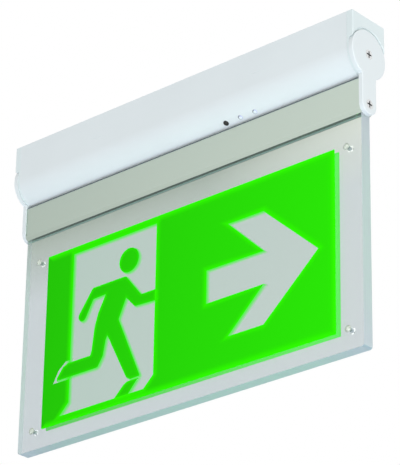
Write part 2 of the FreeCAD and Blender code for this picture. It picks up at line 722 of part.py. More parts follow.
# ---------------------------------------------------------------------------------------------------
# Screws, nuts and washers of both ends
# ---------------------------------------------------------------------------------------------------
def turn_screw(body, face, radius, head, length):
    """A countersunk screw along X whose flat head lies at x = face."""
    profile = new_sketch(body, "XZ_Plane")
    draw_loop(profile, [
        (face, 0),
        (face, head),
        (face - (head - radius), radius),
        (face - length, radius),
        (face - length, 0),
    ])
    turn(body, profile)


def cut_cross(body, face, reach, width, depth):
    """A cross recess in a head at x = face."""
    for half_y, half_z in ((reach / 2, width / 2), (width / 2, reach / 2)):
        bar = new_sketch(body, "YZ_Plane", face)
        draw_box(bar, -half_y, -half_z, half_y, half_z)
        pocket(body, bar, depth)


def build_pivot_screws():
    body = new_body("pivot_screws")
    turn_screw(body, ARM_OUTER, s.screw_radius, s.screw_head, s.pivot_length)
    cut_cross(body, ARM_OUTER, s.recess_length, s.recess_width, s.recess_depth)
    mirror(body, "YZ_Plane")
    hang(body)


def build_arm_screws():
    body = new_body("arm_screws")
    turn_screw(body, ARM_OUTER, s.screw_radius, s.screw_head, s.arm_screw_length)
    cut_cross(body, ARM_OUTER, s.recess_length, s.recess_width, s.recess_depth)
    mirror(body, "YZ_Plane")
    body.Placement = FreeCAD.Placement(Vector(0, 0, -number(s.axis_drop + ARM_REACH)), Rotation())
    bind(body, "Placement.Base.z", -(s.axis_drop + ARM_REACH))


def build_cap_screws():
    body = new_body("cap_screws")
    profile = new_sketch(body, "XY_Plane")
    axis_y = PORT_REACH
    draw_loop(profile, [
        (CAP_FACE, axis_y),
        (CAP_FACE, axis_y + s.small_head),
        (CAP_FACE - (s.small_head - s.small_screw), axis_y + s.small_screw),
        (CAP_FACE - s.cap_screw_length, axis_y + s.small_screw),
        (CAP_FACE - s.cap_screw_length, axis_y),
    ])
    feature = body.newObject("PartDesign::Revolution", "cap_screws_turned")
    feature.Profile = profile
    middle = Part.LineSegment(Vector(0, number(axis_y), 0), Vector(number(CAP_FACE), number(axis_y), 0))
    axis = profile.addGeometry(middle, True)
    place_point(profile, (axis, START), 0, axis_y)
    place_point(profile, (axis, END), CAP_FACE, axis_y)
    feature.ReferenceAxis = (profile, ["Axis0"])
    feature.Angle = 360
    doc.recompute()
    mirror(body, "XZ_Plane")
    mirror(body, "YZ_Plane")
    hang(body)


def build_pivot_nuts():
    body = new_body("pivot_nuts")
    start = SHELL_END - s.cap_boss_length + s.fit_gap / 2
    nut = new_sketch(body, "YZ_Plane", start)
    draw_hexagon(nut, s.nut_width)
    draw_circle(nut, 0, 0, PIVOT_HOLE)
    pad(body, nut, s.nut_height)
    mirror(body, "YZ_Plane")
    hang(body)


def build_friction_washers():
    body = new_body("friction_washers")
    washer = new_sketch(body, "YZ_Plane", ARM_INNER - s.screw_gap)
    draw_circle(washer, 0, 0, s.washer_radius)
    draw_circle(washer, 0, 0, PIVOT_HOLE + s.fit_gap)
    pad(body, washer, s.washer_thickness, backwards=True)
    mirror(body, "YZ_Plane")
    hang(body)


# ---------------------------------------------------------------------------------------------------
# Blade: channel, lamp strip, light panel, legends and rivets
# ---------------------------------------------------------------------------------------------------
def build_blade_channel():
    body = new_body("blade_channel")
    section = new_sketch(body, "YZ_Plane")
    draw_loop(section, [
        (-HALF_CHANNEL, -CHANNEL_TOP),
        (-HALF_CHANNEL, -(CHANNEL_FOOT - s.lip_bevel)),
        (-HALF_SLOT, -CHANNEL_FOOT),
        (-HALF_SLOT, -STRIP_TOP),
        (HALF_SLOT, -STRIP_TOP),
        (HALF_SLOT, -CHANNEL_FOOT),
        (HALF_CHANNEL, -(CHANNEL_FOOT - s.lip_bevel)),
        (HALF_CHANNEL, -CHANNEL_TOP),
    ])
    draw_box(section, -HALF_SLOT, -DUCT_FOOT, HALF_SLOT, -DUCT_TOP)
    pad(body, section, ARM_INNER * 2, both_ways=True)
    dress(body, "Chamfer", s.edge_bevel, lambda edge: edge.Length > number(ARM_INNER)
          and flat_at(edge, "z", -CHANNEL_TOP))
    hang(body)


def build_lamp_strip():
    body = new_body("lamp_strip")
    board = new_sketch(body, "YZ_Plane")
    draw_box(board, -s.strip_width / 2, -CHIP_TOP, s.strip_width / 2, -STRIP_TOP)
    pad(body, board, STRIP_END * 2, both_ways=True)
    hang(body)


def build_lamp_chips():
    body = new_body("lamp_chips")
    count = int(number((STRIP_END * 2 - s.chip_length) / s.chip_pitch)) + 1
    first = -(s.chip_pitch * ((count - 1) / 2))
    chip = new_sketch(body, "XY_Plane", -(CHIP_TOP + s.chip_height))
    half_length = s.chip_length / 2
    half_width = s.chip_width / 2
    draw_box(chip, first - half_length, -half_width, first + half_length, half_width)
    pad(body, chip, s.chip_height)
    repeat(body, s.chip_pitch, count)
    hang(body)


def build_light_panel():
    body = new_body("light_panel")
    sheet_outline = new_sketch(body, "XZ_Plane")
    foot = -PANEL_FOOT
    corner = s.panel_corner
    draw_loop(sheet_outline, [
        (-PANEL_END, -PANEL_TOP),
        (-PANEL_END, foot + corner, (-PANEL_END + corner, foot + corner), LEFT_TURN),
        (-PANEL_END + corner, foot),
        (PANEL_END - corner, foot, (PANEL_END - corner, foot + corner), LEFT_TURN),
        (PANEL_END, foot + corner),
        (PANEL_END, -PANEL_TOP),
    ])
    pad(body, sheet_outline, s.panel_thickness, both_ways=True)
    holes = new_sketch(body, "XZ_Plane")
    for x in (-RIVET_REACH, RIVET_REACH):
        for z in (-LEGEND_DROP - s.rivet_rise / 2, -LEGEND_DROP + s.rivet_rise / 2):
            draw_circle(holes, x, z, s.rivet_radius + s.screw_gap)
    pocket(body, holes, s.panel_thickness * 2, both_ways=True)
    for face, backwards in ((PANEL_END, False), (-PANEL_END, True)):
        bore = new_sketch(body, "YZ_Plane", face)
        draw_circle(bore, 0, -ARM_REACH, s.insert_radius + s.screw_gap)
        pocket(body, bore, s.insert_length + s.insert_air, backwards=backwards)
    hang(body)


def build_panel_inserts():
    body = new_body("panel_inserts")
    tube = new_sketch(body, "YZ_Plane", PANEL_END)
    draw_circle(tube, 0, 0, s.insert_radius)
    draw_circle(tube, 0, 0, PIVOT_HOLE)
    pad(body, tube, s.insert_length, backwards=True)
    mirror(body, "YZ_Plane")
    body.Placement = FreeCAD.Placement(Vector(0, 0, -number(s.axis_drop + ARM_REACH)), Rotation())
    bind(body, "Placement.Base.z", -(s.axis_drop + ARM_REACH))


def build_legend(label, way):
    """A printed film on the panel's front face (way -1) or rear face (way 1)."""
    body = new_body(label)
    film = new_sketch(body, "XZ_Plane", -(HALF_PANEL * way))
    half_length = s.legend_length / 2
    half_height = s.legend_height / 2
    draw_box(film, -half_length, -LEGEND_DROP - half_height, half_length, -LEGEND_DROP + half_height)
    pad(body, film, s.film_thickness, backwards=way > 0)
    half_film = number(s.film_thickness) / 2
    dress(body, "Fillet", s.legend_corner, lambda edge: edge.BoundBox.YLength > half_film)
    hang(body)


def build_panel_rivets():
    body = new_body("panel_rivets")
    profile = new_sketch(body, "XZ_Plane")
    crown = HALF_PANEL + s.rivet_crown
    draw_loop(profile, [
        (0, -crown),
        (s.rivet_radius, -crown),
        (s.rivet_head, -HALF_PANEL),
        (s.rivet_radius, -HALF_PANEL),
        (s.rivet_radius, HALF_PANEL),
        (s.rivet_head, HALF_PANEL),
        (s.rivet_radius, crown),
        (0, crown),
    ])
    turn(body, profile, "V_Axis")
    repeat(body, RIVET_REACH * 2, 2)
    # lay the spools across the panel, then add the lower pair
    axis = next(item for item in body.Origin.OriginFeatures if item.Role == "Y_Axis")
    rows = body.newObject("PartDesign::LinearPattern", "panel_rivets_rows")
    rows.TransformMode = "Whole shape"
    rows.Direction = (axis, [""])
    rows.Mode = "Spacing"
    rows.Occurrences = 2
    bind(rows, "Offset", s.rivet_rise)
    body.Tip = rows
    foot = s.axis_drop + LEGEND_DROP + s.rivet_rise / 2
    body.Placement = FreeCAD.Placement(
        Vector(-number(RIVET_REACH), 0, -number(foot)), Rotation(Vector(1, 0, 0), 90))
    bind(body, "Placement.Base.x", -RIVET_REACH)
    bind(body, "Placement.Base.z", -foot)


# ---------------------------------------------------------------------------------------------------
# Controls on the underside: button, indicator lenses, and the small board behind them
# ---------------------------------------------------------------------------------------------------
def build_test_button():
    body = new_body("test_button")
    profile = new_sketch(body, "XZ_Plane")
    flange_back = FLANGE_FACE - s.flange_thickness
    stem_tip = s.board_radius + s.switch_height - s.button_travel - s.hole_gap
    crown = BUTTON_FACE - s.edge_bevel
    draw_loop(profile, [
        (0, stem_tip),
        (s.stem_radius, stem_tip),
        (s.stem_radius, flange_back),
        (s.flange_radius, flange_back),
        (s.flange_radius, FLANGE_FACE),
        (s.button_radius, FLANGE_FACE),
        (s.button_radius, crown),
        (s.button_radius - s.edge_bevel, BUTTON_FACE),
        (0, BUTTON_FACE),
    ])
    turn(body, profile, "V_Axis")
    face_down(body, s.control_start)


def build_lens(label, place):
    body = new_body(label)
    profile = new_sketch(body, "XZ_Plane")
    flange_back = FLANGE_FACE - s.flange_thickness
    crown = HALF_DEPTH + s.hole_gap
    # the dome is an arc with the chord of the lens and the height of its crown
    dome_radius = (s.lens_radius * s.lens_radius + s.lens_crown * s.lens_crown) / (s.lens_crown * 2)
    draw_loop(profile, [
        (0, flange_back),
        (s.flange_radius, flange_back),
        (s.flange_radius, FLANGE_FACE),
        (s.lens_radius, FLANGE_FACE),
        (s.lens_radius, crown, (0, crown + s.lens_crown - dome_radius), LEFT_TURN),
        (0, crown + s.lens_crown),
    ])
    turn(body, profile, "V_Axis")
    face_down(body, s.control_start + s.control_pitch * place)


def build_indicator_board():
    body = new_body("indicator_board")
    outline = new_sketch(body, "XY_Plane", s.board_radius)
    half = s.board_width / 2
    draw_box(outline, -s.board_margin, -half, s.control_pitch * 2 + s.board_margin, half)
    pad(body, outline, s.board_thickness, backwards=True)
    face_down(body, s.control_start)


def build_test_switch():
    body = new_body("test_switch")
    half = s.switch_size / 2
    outline = new_sketch(body, "XY_Plane", s.board_radius)
    draw_box(outline, -half, -half, half, half)
    pad(body, outline, s.switch_height)
    well = new_sketch(body, "XY_Plane", s.board_radius + s.switch_height)
    draw_circle(well, 0, 0, s.stem_radius + s.hole_gap * 2)
    pocket(body, well, s.switch_well)
    face_down(body, s.control_start)


def build_indicator_lamps():
    body = new_body("indicator_lamps")
    profile = new_sketch(body, "XZ_Plane")
    tip = FLANGE_FACE - s.flange_thickness - s.fit_gap
    draw_loop(profile, [
        (0, s.board_radius),
        (s.lamp_radius, s.board_radius),
        (s.lamp_radius, tip - s.edge_bevel),
        (s.lamp_radius - s.edge_bevel, tip),
        (0, tip),
    ])
    turn(body, profile, "V_Axis")
    repeat(body, s.control_pitch, 2)
    face_down(body, s.control_start + s.control_pitch)


def build_indicator_bracket():
    """A strip folded from the underside of the tray down to the back of the indicator board."""
    body = new_body("indicator_bracket")
    back = s.board_radius - s.board_thickness
    inner = back - s.bracket_sheet
    half = s.board_width / 2
    cos_tilt = cosine(s.control_tilt)
    sin_tilt = sine(s.control_tilt)
    leg = -(cos_tilt * back + sin_tilt * half)
    leg_inner = leg + s.bracket_sheet
    # where the inner faces of the leg and the tilted strip meet
    bend = (-leg_inner - cos_tilt * inner) / sin_tilt
    tray_foot = s.axis_drop - TRAY_FOOT
    end = -half
    section = new_sketch(body, "YZ_Plane", s.control_start - s.board_margin)
    draw_loop(section, [
        (-(cos_tilt * back + sin_tilt * end), cos_tilt * end - sin_tilt * back),
        (leg, cos_tilt * half - sin_tilt * back),
        (leg, tray_foot),
        (s.bracket_sheet, tray_foot),
        (s.bracket_sheet, tray_foot - s.bracket_sheet),
        (leg_inner, tray_foot - s.bracket_sheet),
        (leg_inner, cos_tilt * bend - sin_tilt * inner),
        (-(cos_tilt * inner + sin_tilt * end), cos_tilt * end - sin_tilt * inner),
    ])
    pad(body, section, s.control_pitch * 2 + s.board_margin * 2)
    hang(body)


# ---------------------------------------------------------------------------------------------------
# Ceiling plate, grommet, terminal block and snap clips
# ---------------------------------------------------------------------------------------------------
def build_ceiling_plate():
    body = new_body("ceiling_plate")
    section = new_sketch(body, "YZ_Plane")
    inner = PLATE_HALF - s.plate_sheet
    draw_loop(section, [
        (-PLATE_HALF, 0),
        (-PLATE_HALF, -s.plate_flange),
        (-inner, -s.plate_flange),
        (-inner, -s.plate_sheet),
        (inner, -s.plate_sheet),
        (inner, -s.plate_flange),
        (PLATE_HALF, -s.plate_flange),
        (PLATE_HALF, 0),
    ])
    pad(body, section, PLATE_END * 2, both_ways=True)
    dress(body, "Fillet", s.plate_bend, lambda edge: edge.Length > number(PLATE_END)
          and flat_at(edge, "z", 0))
    # the grommet's seat is pressed down, so that its upper flange stays below the ceiling
    under = new_sketch(body, "XY_Plane", -s.plate_sheet)
    draw_circle(under, 0, 0, s.dimple_radius + s.plate_sheet)
    pad(body, under, s.dimple_depth, backwards=True)
    seat = new_sketch(body, "XY_Plane")
    draw_circle(seat, 0, 0, s.dimple_radius)
    pocket(body, seat, s.dimple_depth)
    openings = new_sketch(body, "XY_Plane")
    draw_circle(openings, 0, 0, s.cable_hole)
    draw_slot(openings, s.slot_spacing / 2, CENTRE_LINE, s.slot_length, s.slot_width)
    draw_slot(openings, -s.slot_spacing / 2, CENTRE_LINE, s.slot_length, s.slot_width)
    pocket(body, openings, s.plate_sheet + s.dimple_depth)


def build_cable_grommet():
    body = new_body("cable_grommet")
    groove_top = s.dimple_depth
    groove_foot = s.dimple_depth + s.plate_sheet
    foot = groove_foot + s.grommet_lip
    neck = s.cable_hole - s.screw_gap
    profile = new_sketch(body, "XZ_Plane")
    draw_loop(profile, [
        (s.grommet_bore, -s.fit_gap),
        (s.grommet_bore, -foot),
        (s.grommet_flange - s.edge_bevel, -foot),
        (s.grommet_flange, -(foot - s.edge_bevel)),
        (s.grommet_flange, -groove_foot),
        (neck, -groove_foot),
        (neck, -groove_top),
        (s.grommet_flange, -groove_top),
        (s.grommet_flange, -s.fit_gap),
    ])
    turn(body, profile, "V_Axis")


def build_terminal_block():
    body = new_body("terminal_block")
    half_width = s.terminal_pitch * 1.5
    left = s.terminal_middle - s.terminal_length / 2
    right = s.terminal_middle + s.terminal_length / 2
    outline = new_sketch(body, "XY_Plane", -s.plate_sheet)
    draw_box(outline, left, -half_width, right, half_width)
    pad(body, outline, s.terminal_height, backwards=True)
    entries = new_sketch(body, "YZ_Plane", left)
    wells = new_sketch(body, "XY_Plane", -(s.plate_sheet + s.terminal_height))
    half_entry = s.terminal_entry / 2
    entry_drop = s.plate_sheet + s.terminal_height / 2
    for pole in (-1, 0, 1):
        middle = s.terminal_pitch * pole
        draw_box(entries, middle - half_entry, -(entry_drop + half_entry),
                 middle + half_entry, -(entry_drop - half_entry))
        draw_circle(wells, left + s.terminal_inset, middle, s.terminal_screw + s.fit_gap)
    pocket(body, entries, s.terminal_bore, backwards=True)
    pocket(body, wells, s.terminal_height / 2, backwards=True)


def build_terminal_screws():
    """The screws stand in the block's wells with their tips at the wire entries."""
    body = new_body("terminal_screws")
    screw_x = s.terminal_middle - s.terminal_length / 2 + s.terminal_inset
    length = s.terminal_height / 2 - s.terminal_entry / 2 - s.terminal_sink
    heads = new_sketch(body, "XY_Plane", -(s.plate_sheet + s.terminal_height - s.terminal_sink))
    for pole in (-1, 0, 1):
        draw_circle(heads, screw_x, s.terminal_pitch * pole, s.terminal_screw)
    pad(body, heads, length)


def build_body_clips():
    """Two inverted U springs whose barbs hold the shell up by its snap ribs."""
    body = new_body("body_clips")
    top = -s.plate_sheet
    leg = PLATE_HALF - s.plate_sheet - s.screw_gap
    barb_top = -(s.snap_drop + s.fit_gap)
    barb = INNER_HALF - s.fit_gap * 2
    tail = barb_top - s.clip_tail
    thin = s.clip_sheet
    section = new_sketch(body, "YZ_Plane", -s.clip_spacing / 2)
    draw_loop(section, [
        (0, top),
        (leg, top),
        (leg, barb_top),
        (barb, barb_top),
        (barb, barb_top - thin),
        (leg, tail),
        (leg - thin, tail),
        (barb - thin * 2, barb_top - thin),
        (leg - thin, barb_top - thin),
        (leg - thin, top - thin),
        (0, top - thin),
    ])
    pad(body, section, s.clip_length, both_ways=True)
    mirror(body, "XZ_Plane")
    repeat(body, s.clip_spacing, 2)


# ---------------------------------------------------------------------------------------------------
# Gear tray with battery and control board
# ---------------------------------------------------------------------------------------------------
def build_gear_tray():
    body = new_body("gear_tray")
    outline = new_sketch(body, "XY_Plane", -s.tray_drop)
    reach = SHELL_END - s.cap_boss_length - s.tray_end_gap
    draw_box(outline, -reach, -TRAY_HALF, reach, TRAY_HALF)
    pad(body, outline, s.tray_sheet, backwards=True)
    lead_slot = new_sketch(body, "XY_Plane", -s.tray_drop)
    middle = s.control_start - s.control_pitch
    draw_slot(lead_slot, middle, CENTRE_LINE, s.lead_slot_length, s.lead_slot_width)
    pocket(body, lead_slot, s.tray_sheet)


def build_battery_cells():
    body = new_body("battery_cells")
    profile = new_sketch(body, "XZ_Plane")
    draw_loop(profile, [
        (CELL_START, 0),
        (CELL_START, s.cell_radius),
        (CELL_START + s.cell_length, s.cell_radius),
        (CELL_START + s.cell_length, s.contact_radius),
        (CELL_START + s.cell_length + s.cell_contact, s.contact_radius),
        (CELL_START + s.cell_length + s.cell_contact, 0),
    ])
    turn(body, profile)
    repeat(body, s.cell_pitch, 3)
    lift = s.tray_drop - s.holder_sheet - s.fit_gap - s.cell_radius
    body.Placement = FreeCAD.Placement(Vector(0, 0, -number(lift)), Rotation())
    bind(body, "Placement.Base.z", -lift)


def build_battery_holders():
    """Spring cradles that grip the cells and stand on the tray."""
    body = new_body("battery_holders")
    inside = s.cell_radius + s.fit_gap
    outside = inside + s.holder_sheet
    # the cradle's tips end at 45 degrees above its middle
    tip = 1 / math.sqrt(2)
    middle = CELL_START + s.cell_pitch * 1.5
    section = new_sketch(body, "YZ_Plane", middle - s.holder_spacing / 2)
    draw_loop(section, [
        (-outside * tip, outside * tip, (0, 0), LEFT_TURN),
        (outside * tip, outside * tip),
        (inside * tip, inside * tip, (0, 0), RIGHT_TURN),
        (-inside * tip, inside * tip),
    ])
    pad(body, section, s.holder_length, both_ways=True)
    repeat(body, s.holder_spacing, 2)
    lift = s.tray_drop - outside
    body.Placement = FreeCAD.Placement(Vector(0, 0, -number(lift)), Rotation())
    bind(body, "Placement.Base.z", -lift)


def circuit_corners():
    """The four screw places of the control board."""
    reach_x = s.circuit_length / 2 - s.circuit_inset
    reach_y = s.circuit_width / 2 - s.circuit_inset
    for x in (CIRCUIT_MIDDLE - reach_x, CIRCUIT_MIDDLE + reach_x):
        for y in (-reach_y, reach_y):
            yield x, y


def build_control_board():
    body = new_body("control_board")
    outline = new_sketch(body, "XY_Plane", -CIRCUIT_FOOT)
    half_length = s.circuit_length / 2
    draw_box(outline, CIRCUIT_MIDDLE - half_length, -s.circuit_width / 2,
             CIRCUIT_MIDDLE + half_length, s.circuit_width / 2)
    for x, y in circuit_corners():
        draw_circle(outline, x, y, s.small_screw + s.fit_gap)
    pad(body, outline, s.circuit_thickness)


def build_board_standoffs():
    body = new_body("board_standoffs")
    rings = new_sketch(body, "XY_Plane", -s.tray_drop)
    for x, y in circuit_corners():
        draw_hexagon(rings, s.standoff_width, x, y)
        draw_circle(rings, x, y, s.small_screw + s.screw_gap)
    pad(body, rings, s.circuit_lift)


def build_board_screws():
    body = new_body("board_screws")
    heads = new_sketch(body, "XY_Plane", -CIRCUIT_TOP)
    shanks = new_sketch(body, "XY_Plane", -CIRCUIT_TOP)
    for x, y in circuit_corners():
        draw_circle(heads, x, y, s.small_head)
        draw_circle(shanks, x, y, s.small_screw)
    pad(body, heads, s.circuit_thickness)
    pad(body, shanks, s.circuit_thickness + s.circuit_lift / 2, backwards=True)


def build_transformer():
    """A ferrite core around a wound bobbin."""
    body = new_body("transformer")
    middle = CIRCUIT_MIDDLE + s.core_offset
    for length, width, height in ((s.core_length, s.core_width, s.core_height),
                                  (s.winding_length, s.winding_width, s.winding_height)):
        block = new_sketch(body, "XY_Plane", -CIRCUIT_TOP)
        draw_box(block, middle - length / 2, -width / 2, middle + length / 2, width / 2)
        pad(body, block, height)


def build_capacitors():
    body = new_body("capacitors")
    cans = new_sketch(body, "XY_Plane", -CIRCUIT_TOP)
    pitch = s.can_radius * 2 + s.can_gap
    for place in (0, 1):
        draw_circle(cans, CIRCUIT_MIDDLE + s.can_radius + pitch * place, 0, s.can_radius)
    pad(body, cans, s.can_height)
    dress(body, "Chamfer", s.edge_bevel, lambda edge: flat_at(edge, "z", s.can_height - CIRCUIT_TOP))


def build_board_connector():
    body = new_body("board_connector")
    right = CIRCUIT_MIDDLE + s.circuit_length / 2 - s.socket_inset
    left = right - s.socket_length
    half = s.socket_width / 2
    wall = s.socket_wall
    base = new_sketch(body, "XY_Plane", -CIRCUIT_TOP)
    draw_box(base, left, -half, right, half)
    pad(body, base, s.socket_height)
    well = new_sketch(body, "XY_Plane", s.socket_height - CIRCUIT_TOP)
    draw_box(well, left + wall, -half + wall, right - wall, half - wall)
    pocket(body, well, s.socket_depth)


# ---------------------------------------------------------------------------------------------------
# Build, check and write
# ---------------------------------------------------------------------------------------------------
build_housing_shell()
build_end_cap("left_end_cap", left=True)
build_end_cap("right_end_cap", left=False)
build_arm("left_arm", left=True)
build_arm("right_arm", left=False)
build_pivot_screws()
build_arm_screws()
build_cap_screws()
build_pivot_nuts()
build_friction_washers()
build_blade_channel()
build_lamp_strip()
build_lamp_chips()
build_light_panel()
build_panel_inserts()
build_legend("front_legend", -1)
build_legend("rear_legend", 1)
build_panel_rivets()
build_test_button()
build_lens("charge_lens", 1)
build_lens("fault_lens", 2)
build_indicator_board()
build_test_switch()
build_indicator_lamps()
build_indicator_bracket()
build_ceiling_plate()
build_cable_grommet()
build_terminal_block()
build_terminal_screws()
build_body_clips()
build_gear_tray()
build_battery_cells()
build_battery_holders()
build_control_board()
build_board_standoffs()
build_board_screws()
build_transformer()
build_capacitors()
build_board_connector()
doc.recompute()

failed = [item.Label for item in doc.Objects if {"Invalid", "Error"} & set(item.State)]
if failed:
    raise RuntimeError(f"these objects failed: {failed}")

pieces = [item for item in doc.Objects if item.TypeId == "PartDesign::Body"]
for piece in pieces:
    if piece.Shape.isNull() or not piece.Shape.isValid() or not piece.Shape.Solids:
        raise RuntimeError(f"{piece.Label} has no valid solid")

os.makedirs("parts", exist_ok=True)
for piece in pieces:
    piece.Shape.exportStep(os.path.join("parts", piece.Label + ".step"))
    box = piece.Shape.BoundBox
    print(f"{piece.Label:20s} solids {len(piece.Shape.Solids):2d}  {piece.Shape.Volume / 1000:8.2f} cm3  "
          f"x {box.XMin:7.1f} {box.XMax:6.1f}  y {box.YMin:6.1f} {box.YMax:5.1f}  "
          f"z {box.ZMin:7.1f} {box.ZMax:7.1f}")
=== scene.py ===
# %% [markdown]
# # A swivelling exit sign
# The sign hangs from a ceiling. A white extruded housing holds the battery and the control board. Two arms
# swing on its ends and carry an aluminium channel, and a clear acrylic panel hangs from the channel. The
# panel is lit through its upper edge and carries a printed film on each side.
#
# The shapes come ready made as a fixed frame. This lesson gives every piece its finish, adds the print and
# two dark strips that paint the gap's shadow line, and sets up the camera and the light. Every length here is
# in metres.

# %% Load the frame and keep its box
import math

import bmesh
import bpy
from mathutils import Matrix, Vector


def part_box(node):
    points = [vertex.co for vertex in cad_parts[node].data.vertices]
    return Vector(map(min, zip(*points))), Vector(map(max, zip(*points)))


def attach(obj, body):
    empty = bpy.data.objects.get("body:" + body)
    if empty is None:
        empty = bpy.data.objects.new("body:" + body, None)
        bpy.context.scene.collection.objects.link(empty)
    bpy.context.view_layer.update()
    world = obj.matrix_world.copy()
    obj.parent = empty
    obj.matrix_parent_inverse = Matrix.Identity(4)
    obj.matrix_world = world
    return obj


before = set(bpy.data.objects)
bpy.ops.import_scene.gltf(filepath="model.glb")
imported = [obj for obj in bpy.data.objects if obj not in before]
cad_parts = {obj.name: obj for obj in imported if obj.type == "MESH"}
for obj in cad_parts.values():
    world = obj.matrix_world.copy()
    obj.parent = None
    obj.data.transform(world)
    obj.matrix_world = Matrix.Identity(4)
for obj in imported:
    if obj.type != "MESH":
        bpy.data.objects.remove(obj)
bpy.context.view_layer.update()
MM = 0.001

# %% [markdown]
# ## Measures taken from the frame
# Places could be typed in as numbers, but then the print would leave its film as soon as the model changed.
# So they are read from the pieces themselves. The swivel's axis runs through the two pivot screws.

# %% Read the places that later cells use
film_low, film_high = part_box("front_legend")
panel_low, panel_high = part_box("light_panel")
channel_low, channel_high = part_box("blade_channel")
pivot_low, pivot_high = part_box("pivot_screws")
film_centre = (film_low + film_high) / 2
film_size = film_high - film_low
swivel_axis = Vector((0, 0, (pivot_low.z + pivot_high.z) / 2))
print("film size:", [round(v / MM, 2) for v in film_size], "mm")
print("film centre:", [round(v / MM, 1) for v in film_centre], "mm")
print("swivel axis at", round(swivel_axis.z / MM, 2), "mm")

# %% [markdown]
# ## The camera
# The sign is seen from below and from its right, with a long lens, so that its far end looks only a little
# smaller than the near one. A camera can be aimed by angles or by directions. Here it is set by where it
# stands, the direction in which it looks and the direction of its right-hand side.

# %% Place the camera
CAMERA_PLACE = Vector((1.22486, -1.35332, -1.00226))
CAMERA_RIGHT = Vector((0.7494, 0.6619, 0.0156)).normalized()
CAMERA_FORWARD = Vector((-0.6018, 0.6711, 0.4329)).normalized()
FILM_GATE_MM = 36
FOCAL_LENGTH_MM = 200.3
camera_up = CAMERA_RIGHT.cross(CAMERA_FORWARD).normalized()

camera_data = bpy.data.cameras.new("camera")
camera_data.sensor_fit = "AUTO"
camera_data.sensor_width = FILM_GATE_MM
camera_data.lens = FOCAL_LENGTH_MM
camera_data.clip_start = 0.1
camera_data.clip_end = 50
camera = bpy.data.objects.new("camera", camera_data)
camera.matrix_world = Matrix.Translation(CAMERA_PLACE) @ Matrix((
    (CAMERA_RIGHT.x, camera_up.x, -CAMERA_FORWARD.x),
    (CAMERA_RIGHT.y, camera_up.y, -CAMERA_FORWARD.y),
    (CAMERA_RIGHT.z, camera_up.z, -CAMERA_FORWARD.z),
)).to_4x4()
bpy.context.scene.collection.objects.link(camera)
bpy.context.scene.camera = camera
print("camera distance:", round((CAMERA_PLACE - film_centre).length, 3), "m")

# %% [markdown]
# ## Colour and nodes
# Colours are written as sRGB hex, as a paint chart gives them. Blender works in linear light, so one
# function turns them. Materials are built from nodes, and one function adds a node of any kind with its
# settings and its links, so that each finish below reads as a list of what it is made of.

# %% Turn an sRGB hex colour to linear light
def linear(hex_colour):
    """Linear red, green, blue and alpha of a colour such as E3E8EA."""
    channels = [int(hex_colour[place:place + 2], 16) / 255 for place in (0, 2, 4)]
    return [c / 12.92 if c <= 0.04045 else ((c + 0.055) / 1.055) ** 2.4 for c in channels] + [1.0]


print("mid grey 808080 is", round(linear("808080")[0], 3), "in linear light")

# %% Add one node
# a mix node that is set to colours takes its share and two colours at these inputs, and gives this output
COLOURS = {"data_type": "RGBA"}
SHARE, FIRST, SECOND, MIXED = 0, 6, 7, 2


def add(tree, kind, settings=None, inputs=None):
    """Add a node. An input is a value, an output, or a node, whose first output in use is then taken."""
    made = tree.nodes.new(kind)
    for name, value in (settings or {}).items():
        setattr(made, name, value)
    for name, value in (inputs or {}).items():
        if isinstance(value, bpy.types.Node):
            value = next(output for output in value.outputs if output.enabled)
        if isinstance(value, bpy.types.NodeSocket):
            tree.links.new(value, made.inputs[name])
        else:
            made.inputs[name].default_value = value
    return made


print("a mix of colours uses the inputs", SHARE, FIRST, SECOND, "and the output", MIXED)

# %% Start and end a material
def start_material(name):
    """An empty material, its node tree, and the place on the surface in the object's own coordinates."""
    material = bpy.data.materials.new(name)
    material.use_nodes = True
    material.node_tree.nodes.clear()
    place = add(material.node_tree, "ShaderNodeTexCoord")
    return material, material.node_tree, place.outputs["Object"]


def end_material(material, shader):
    """Join the last shader to the material's output."""
    add(material.node_tree, "ShaderNodeOutputMaterial", inputs={"Surface": shader})
    print("made", material.name, "with", len(material.node_tree.nodes), "nodes")
    return material


# %% [markdown]
# ## Uneven surfaces
# No real finish is perfectly even. A painted image would show that, but soft noise does it without a file:
# it gives a height for the bumps, and the same spots also make the gloss or the colour vary a little.

# %% Make soft spots
NOISE_LOW, NOISE_HIGH = 0.3, 0.7    # most of the noise lies between these


def mottle(tree, place, size, low, high, detail=2.0):
    """Noise with spots about size metres across: its height, and the same spread between two values."""
    noise = add(tree, "ShaderNodeTexNoise", inputs={"Vector": place, "Scale": 1 / size, "Detail": detail})
    spread = add(tree, "ShaderNodeMapRange", inputs={
        "Value": noise, "From Min": NOISE_LOW, "From Max": NOISE_HIGH, "To Min": low, "To Max": high})
    return noise.outputs["Fac"], spread.outputs["Result"]


print("spots 2.5 mm across need a noise scale of", round(1 / (2.5 * MM)))

# %% [markdown]
# ## Powder-coated aluminium
# The housing is an aluminium extrusion with a white polyester powder coat, baked on. The powder melts into
# a skin that is almost flat but keeps a faint orange peel, a few millimetres from crest to crest, which
# breaks up reflections. The coat is a plastic, so the IOR is 1.5 and nothing is metallic. The arms have the
# same coat.

# %% Make the powder coat
ORANGE_PEEL = 2.5 * MM
COAT_CLOUD = 60 * MM


def powder_coat():
    """White, with an orange peel and gloss that vary together."""
    material, tree, place = start_material("white_powder_coat")
    peel, gloss = mottle(tree, place, ORANGE_PEEL, 0.36, 0.46)
    _, cloud = mottle(tree, place, COAT_CLOUD, 0.0, 1.0)
    colour = add(tree, "ShaderNodeMix", COLOURS, {
        SHARE: cloud, FIRST: linear("E4EAEB"), SECOND: linear("E1E7E8")})
    bump = add(tree, "ShaderNodeBump", inputs={"Height": peel, "Strength": 0.12, "Distance": 0.05 * MM})
    coat = add(tree, "ShaderNodeBsdfPrincipled", inputs={
        "Base Color": colour, "Roughness": gloss, "IOR": 1.5, "Normal": bump})
    return end_material(material, coat)


